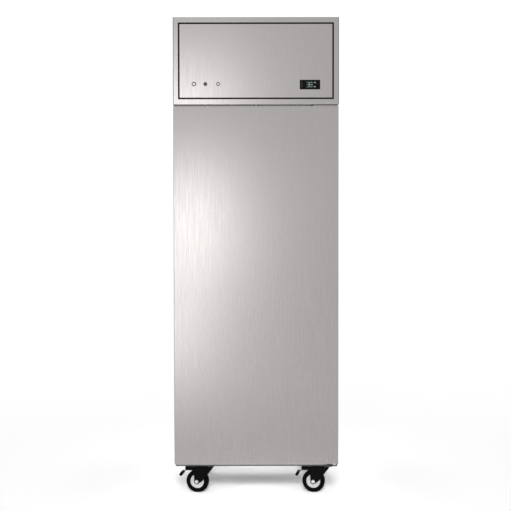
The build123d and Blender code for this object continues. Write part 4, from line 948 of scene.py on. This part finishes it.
def make_wheel(corner):
    """A moulded wheel: hub, dished web and rim, with short ribs on both faces."""
    joint = joints[f"{corner}_wheel_spin"]
    centre, axis = Vector(joint["pos_m"]), Vector(joint["axis"]).normalized()
    shape = bmesh.new()
    half = in_metres(DISC_PROFILE)
    profile = half + [(radius, -along) for radius, along in reversed(half)]
    add_turned(shape, profile, centre, axis, 64)
    across = axis.orthogonal().normalized()
    other = axis.cross(across)
    for u, v in arc((0, 0), 1, 0, 360, DISC_RIBS)[:-1]:
        spoke = across * u + other * v
        side = axis.cross(spoke)
        for outward in (-axis, axis):
            low, high = [], []
            for radius, half_width, height in RIB_ENDS:
                for sign in (-1, 1):
                    foot = centre + spoke * radius * MM + side * sign * half_width * MM
                    foot += outward * RIB_FOOT
                    low.append(foot)
                    high.append(foot + outward * height * MM)
            verts = [shape.verts.new(point) for point in low + high]
            for quad in RIB_FACES:
                shape.faces.new([verts[k] for k in quad])
    mesh_piece(
        f"{corner}_disc", shape, f"{corner}_wheel", "wheel_grey",
        replaced=[f"{corner}_wheel_core"],
    )


CHEEK_OUTER = 22 * MM
WASHER_RADIUS, WASHER_SHEET = 13 * MM, 1.2 * MM
NUT_RADIUS, NUT_HEIGHT = 8.4 * MM, 5.4 * MM
# The ring under the plate: radius and distance from the top of the fork, in millimetres
RACE_PROFILE = [(26, -6.5), (31, -6.5), (32.5, -4), (31, -0.8), (26, -0.8)]


def make_caster_metal(corner):
    """The bright round caps of the axle on black washers, and the ring of the swivel race."""
    joint = joints[f"{corner}_wheel_spin"]
    centre, axis = Vector(joint["pos_m"]), Vector(joint["axis"]).normalized()
    body = f"{corner}_swivel"
    washers, nuts, race = bmesh.new(), bmesh.new(), bmesh.new()
    for outward in (-axis, axis):
        seat = centre + outward * CHEEK_OUTER
        add_disc(washers, seat, outward, WASHER_RADIUS, WASHER_SHEET)
        add_head(nuts, seat + outward * WASHER_SHEET, outward, NUT_RADIUS, NUT_HEIGHT, 32)
    mesh_piece(f"{corner}_washers", washers, body, "caster_black")
    mesh_piece(f"{corner}_nuts", nuts, body, "caster_black", "zinc_plate")
    swivel = joints[f"{corner}_swivel_turn"]["pos_m"]
    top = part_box(f"{corner}_fork")[1].z
    add_turned(race, in_metres(RACE_PROFILE), (swivel[0], swivel[1], top), (0, 0, 1), 48)
    mesh_piece(f"{corner}_race", race, body, "caster_black")


# The two ends of the pad from the pedal's pivot: along the wheel's trail, and up
PAD_TOP, PAD_TIP = (28 * MM, -23 * MM), (34 * MM, -31 * MM)
PAD_RADIUS = 4.5 * MM
PAD_HALF_WIDTH = 18.4 * MM


def make_pedal_pad(corner):
    """The thick rubber pad under the paddle of a brake pedal."""
    pivot = Vector(joints[f"{corner}_brake_press"]["pos_m"])
    axis = Vector(joints[f"{corner}_wheel_spin"]["axis"]).normalized()
    trail = Vector(joints[f"{corner}_wheel_spin"]["pos_m"])
    trail -= Vector(joints[f"{corner}_swivel_turn"]["pos_m"])
    trail.z = 0
    trail.normalize()
    lean = math.degrees(math.atan2(PAD_TIP[1] - PAD_TOP[1], PAD_TIP[0] - PAD_TOP[0]))
    outline = arc(PAD_TOP, PAD_RADIUS, lean + 90, 180, 8)
    outline += arc(PAD_TIP, PAD_RADIUS, lean - 90, 180, 8)
    shape = bmesh.new()
    add_prism(
        shape, outline, -PAD_HALF_WIDTH, PAD_HALF_WIDTH,
        lambda u, v, d: pivot + trail * u + Vector((0, 0, v)) + axis * d,
    )
    mesh_piece(f"{corner}_pad", shape, f"{corner}_brake", "black_plastic", "caster_black")


def make_casters():
    """Details of all four casters."""
    for corner in ("front_left", "front_right", "rear_left", "rear_right"):
        make_wheel(corner)
        make_caster_metal(corner)
    for corner in ("front_left", "front_right"):
        make_pedal_pad(corner)


# Cooling unit

# The terminal cover from the middle of the compressor's front
COVER_LOW = Vector((-24, -14, -38)) * MM
COVER_HIGH = Vector((24, 12, 22)) * MM
COVER_ROUNDING = 3 * MM
BOX_SCREW_INSET = 10 * MM
BOX_SCREW_HEIGHT = 2 * MM
GLAND_COUNT = 3
GLAND_RISE = 45 * MM
GLAND_NUT_RADIUS, GLAND_NUT_HEIGHT = 9 * MM, 6 * MM
GLAND_CAP_RADIUS, GLAND_CAP_HEIGHT = 7 * MM, 7 * MM


def make_unit_details():
    """Terminal cover of the compressor, and the screws and glands of the control box."""
    low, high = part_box("compressor")
    front = middle(low, high)
    front.y = low.y
    cover = bmesh.new()
    add_box(cover, front + COVER_LOW, front + COVER_HIGH, COVER_ROUNDING)
    mesh_piece("terminal_cover", cover, "cabinet", "black_plastic")
    low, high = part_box("control_box")
    screws = bmesh.new()
    for x in (low.x + BOX_SCREW_INSET, high.x - BOX_SCREW_INSET):
        for y in (low.y + BOX_SCREW_INSET, high.y - BOX_SCREW_INSET):
            add_head(screws, (x, y, high.z), (0, 0, 1), SCREW_RADIUS, BOX_SCREW_HEIGHT, SCREW_SIDES)
    mesh_piece("control_box_screws", screws, "cabinet", "zinc_plate")
    glands = bmesh.new()
    rearward = Vector((0, 1, 0))
    for i in range(GLAND_COUNT):
        x = low.x + (high.x - low.x) * (i + 1) / (GLAND_COUNT + 1)
        seat = Vector((x, high.y, low.z + GLAND_RISE))
        add_head(glands, seat, rearward, GLAND_NUT_RADIUS, GLAND_NUT_HEIGHT, 6)
        seat += rearward * GLAND_NUT_HEIGHT
        add_head(glands, seat, rearward, GLAND_CAP_RADIUS, GLAND_CAP_HEIGHT, 24)
    mesh_piece("control_box_glands", glands, "cabinet", "black_plastic")


make_camera()
make_studio()
dress_nodes()
make_display()
make_key_marks()
make_fascia_marks()
make_fascia_edges()
make_gap_strips()
make_gasket()
make_shelves()
make_fan_guards()
make_louvres()
make_sheet_screws()
make_fixings()
make_brackets()
make_casters()
make_unit_details()
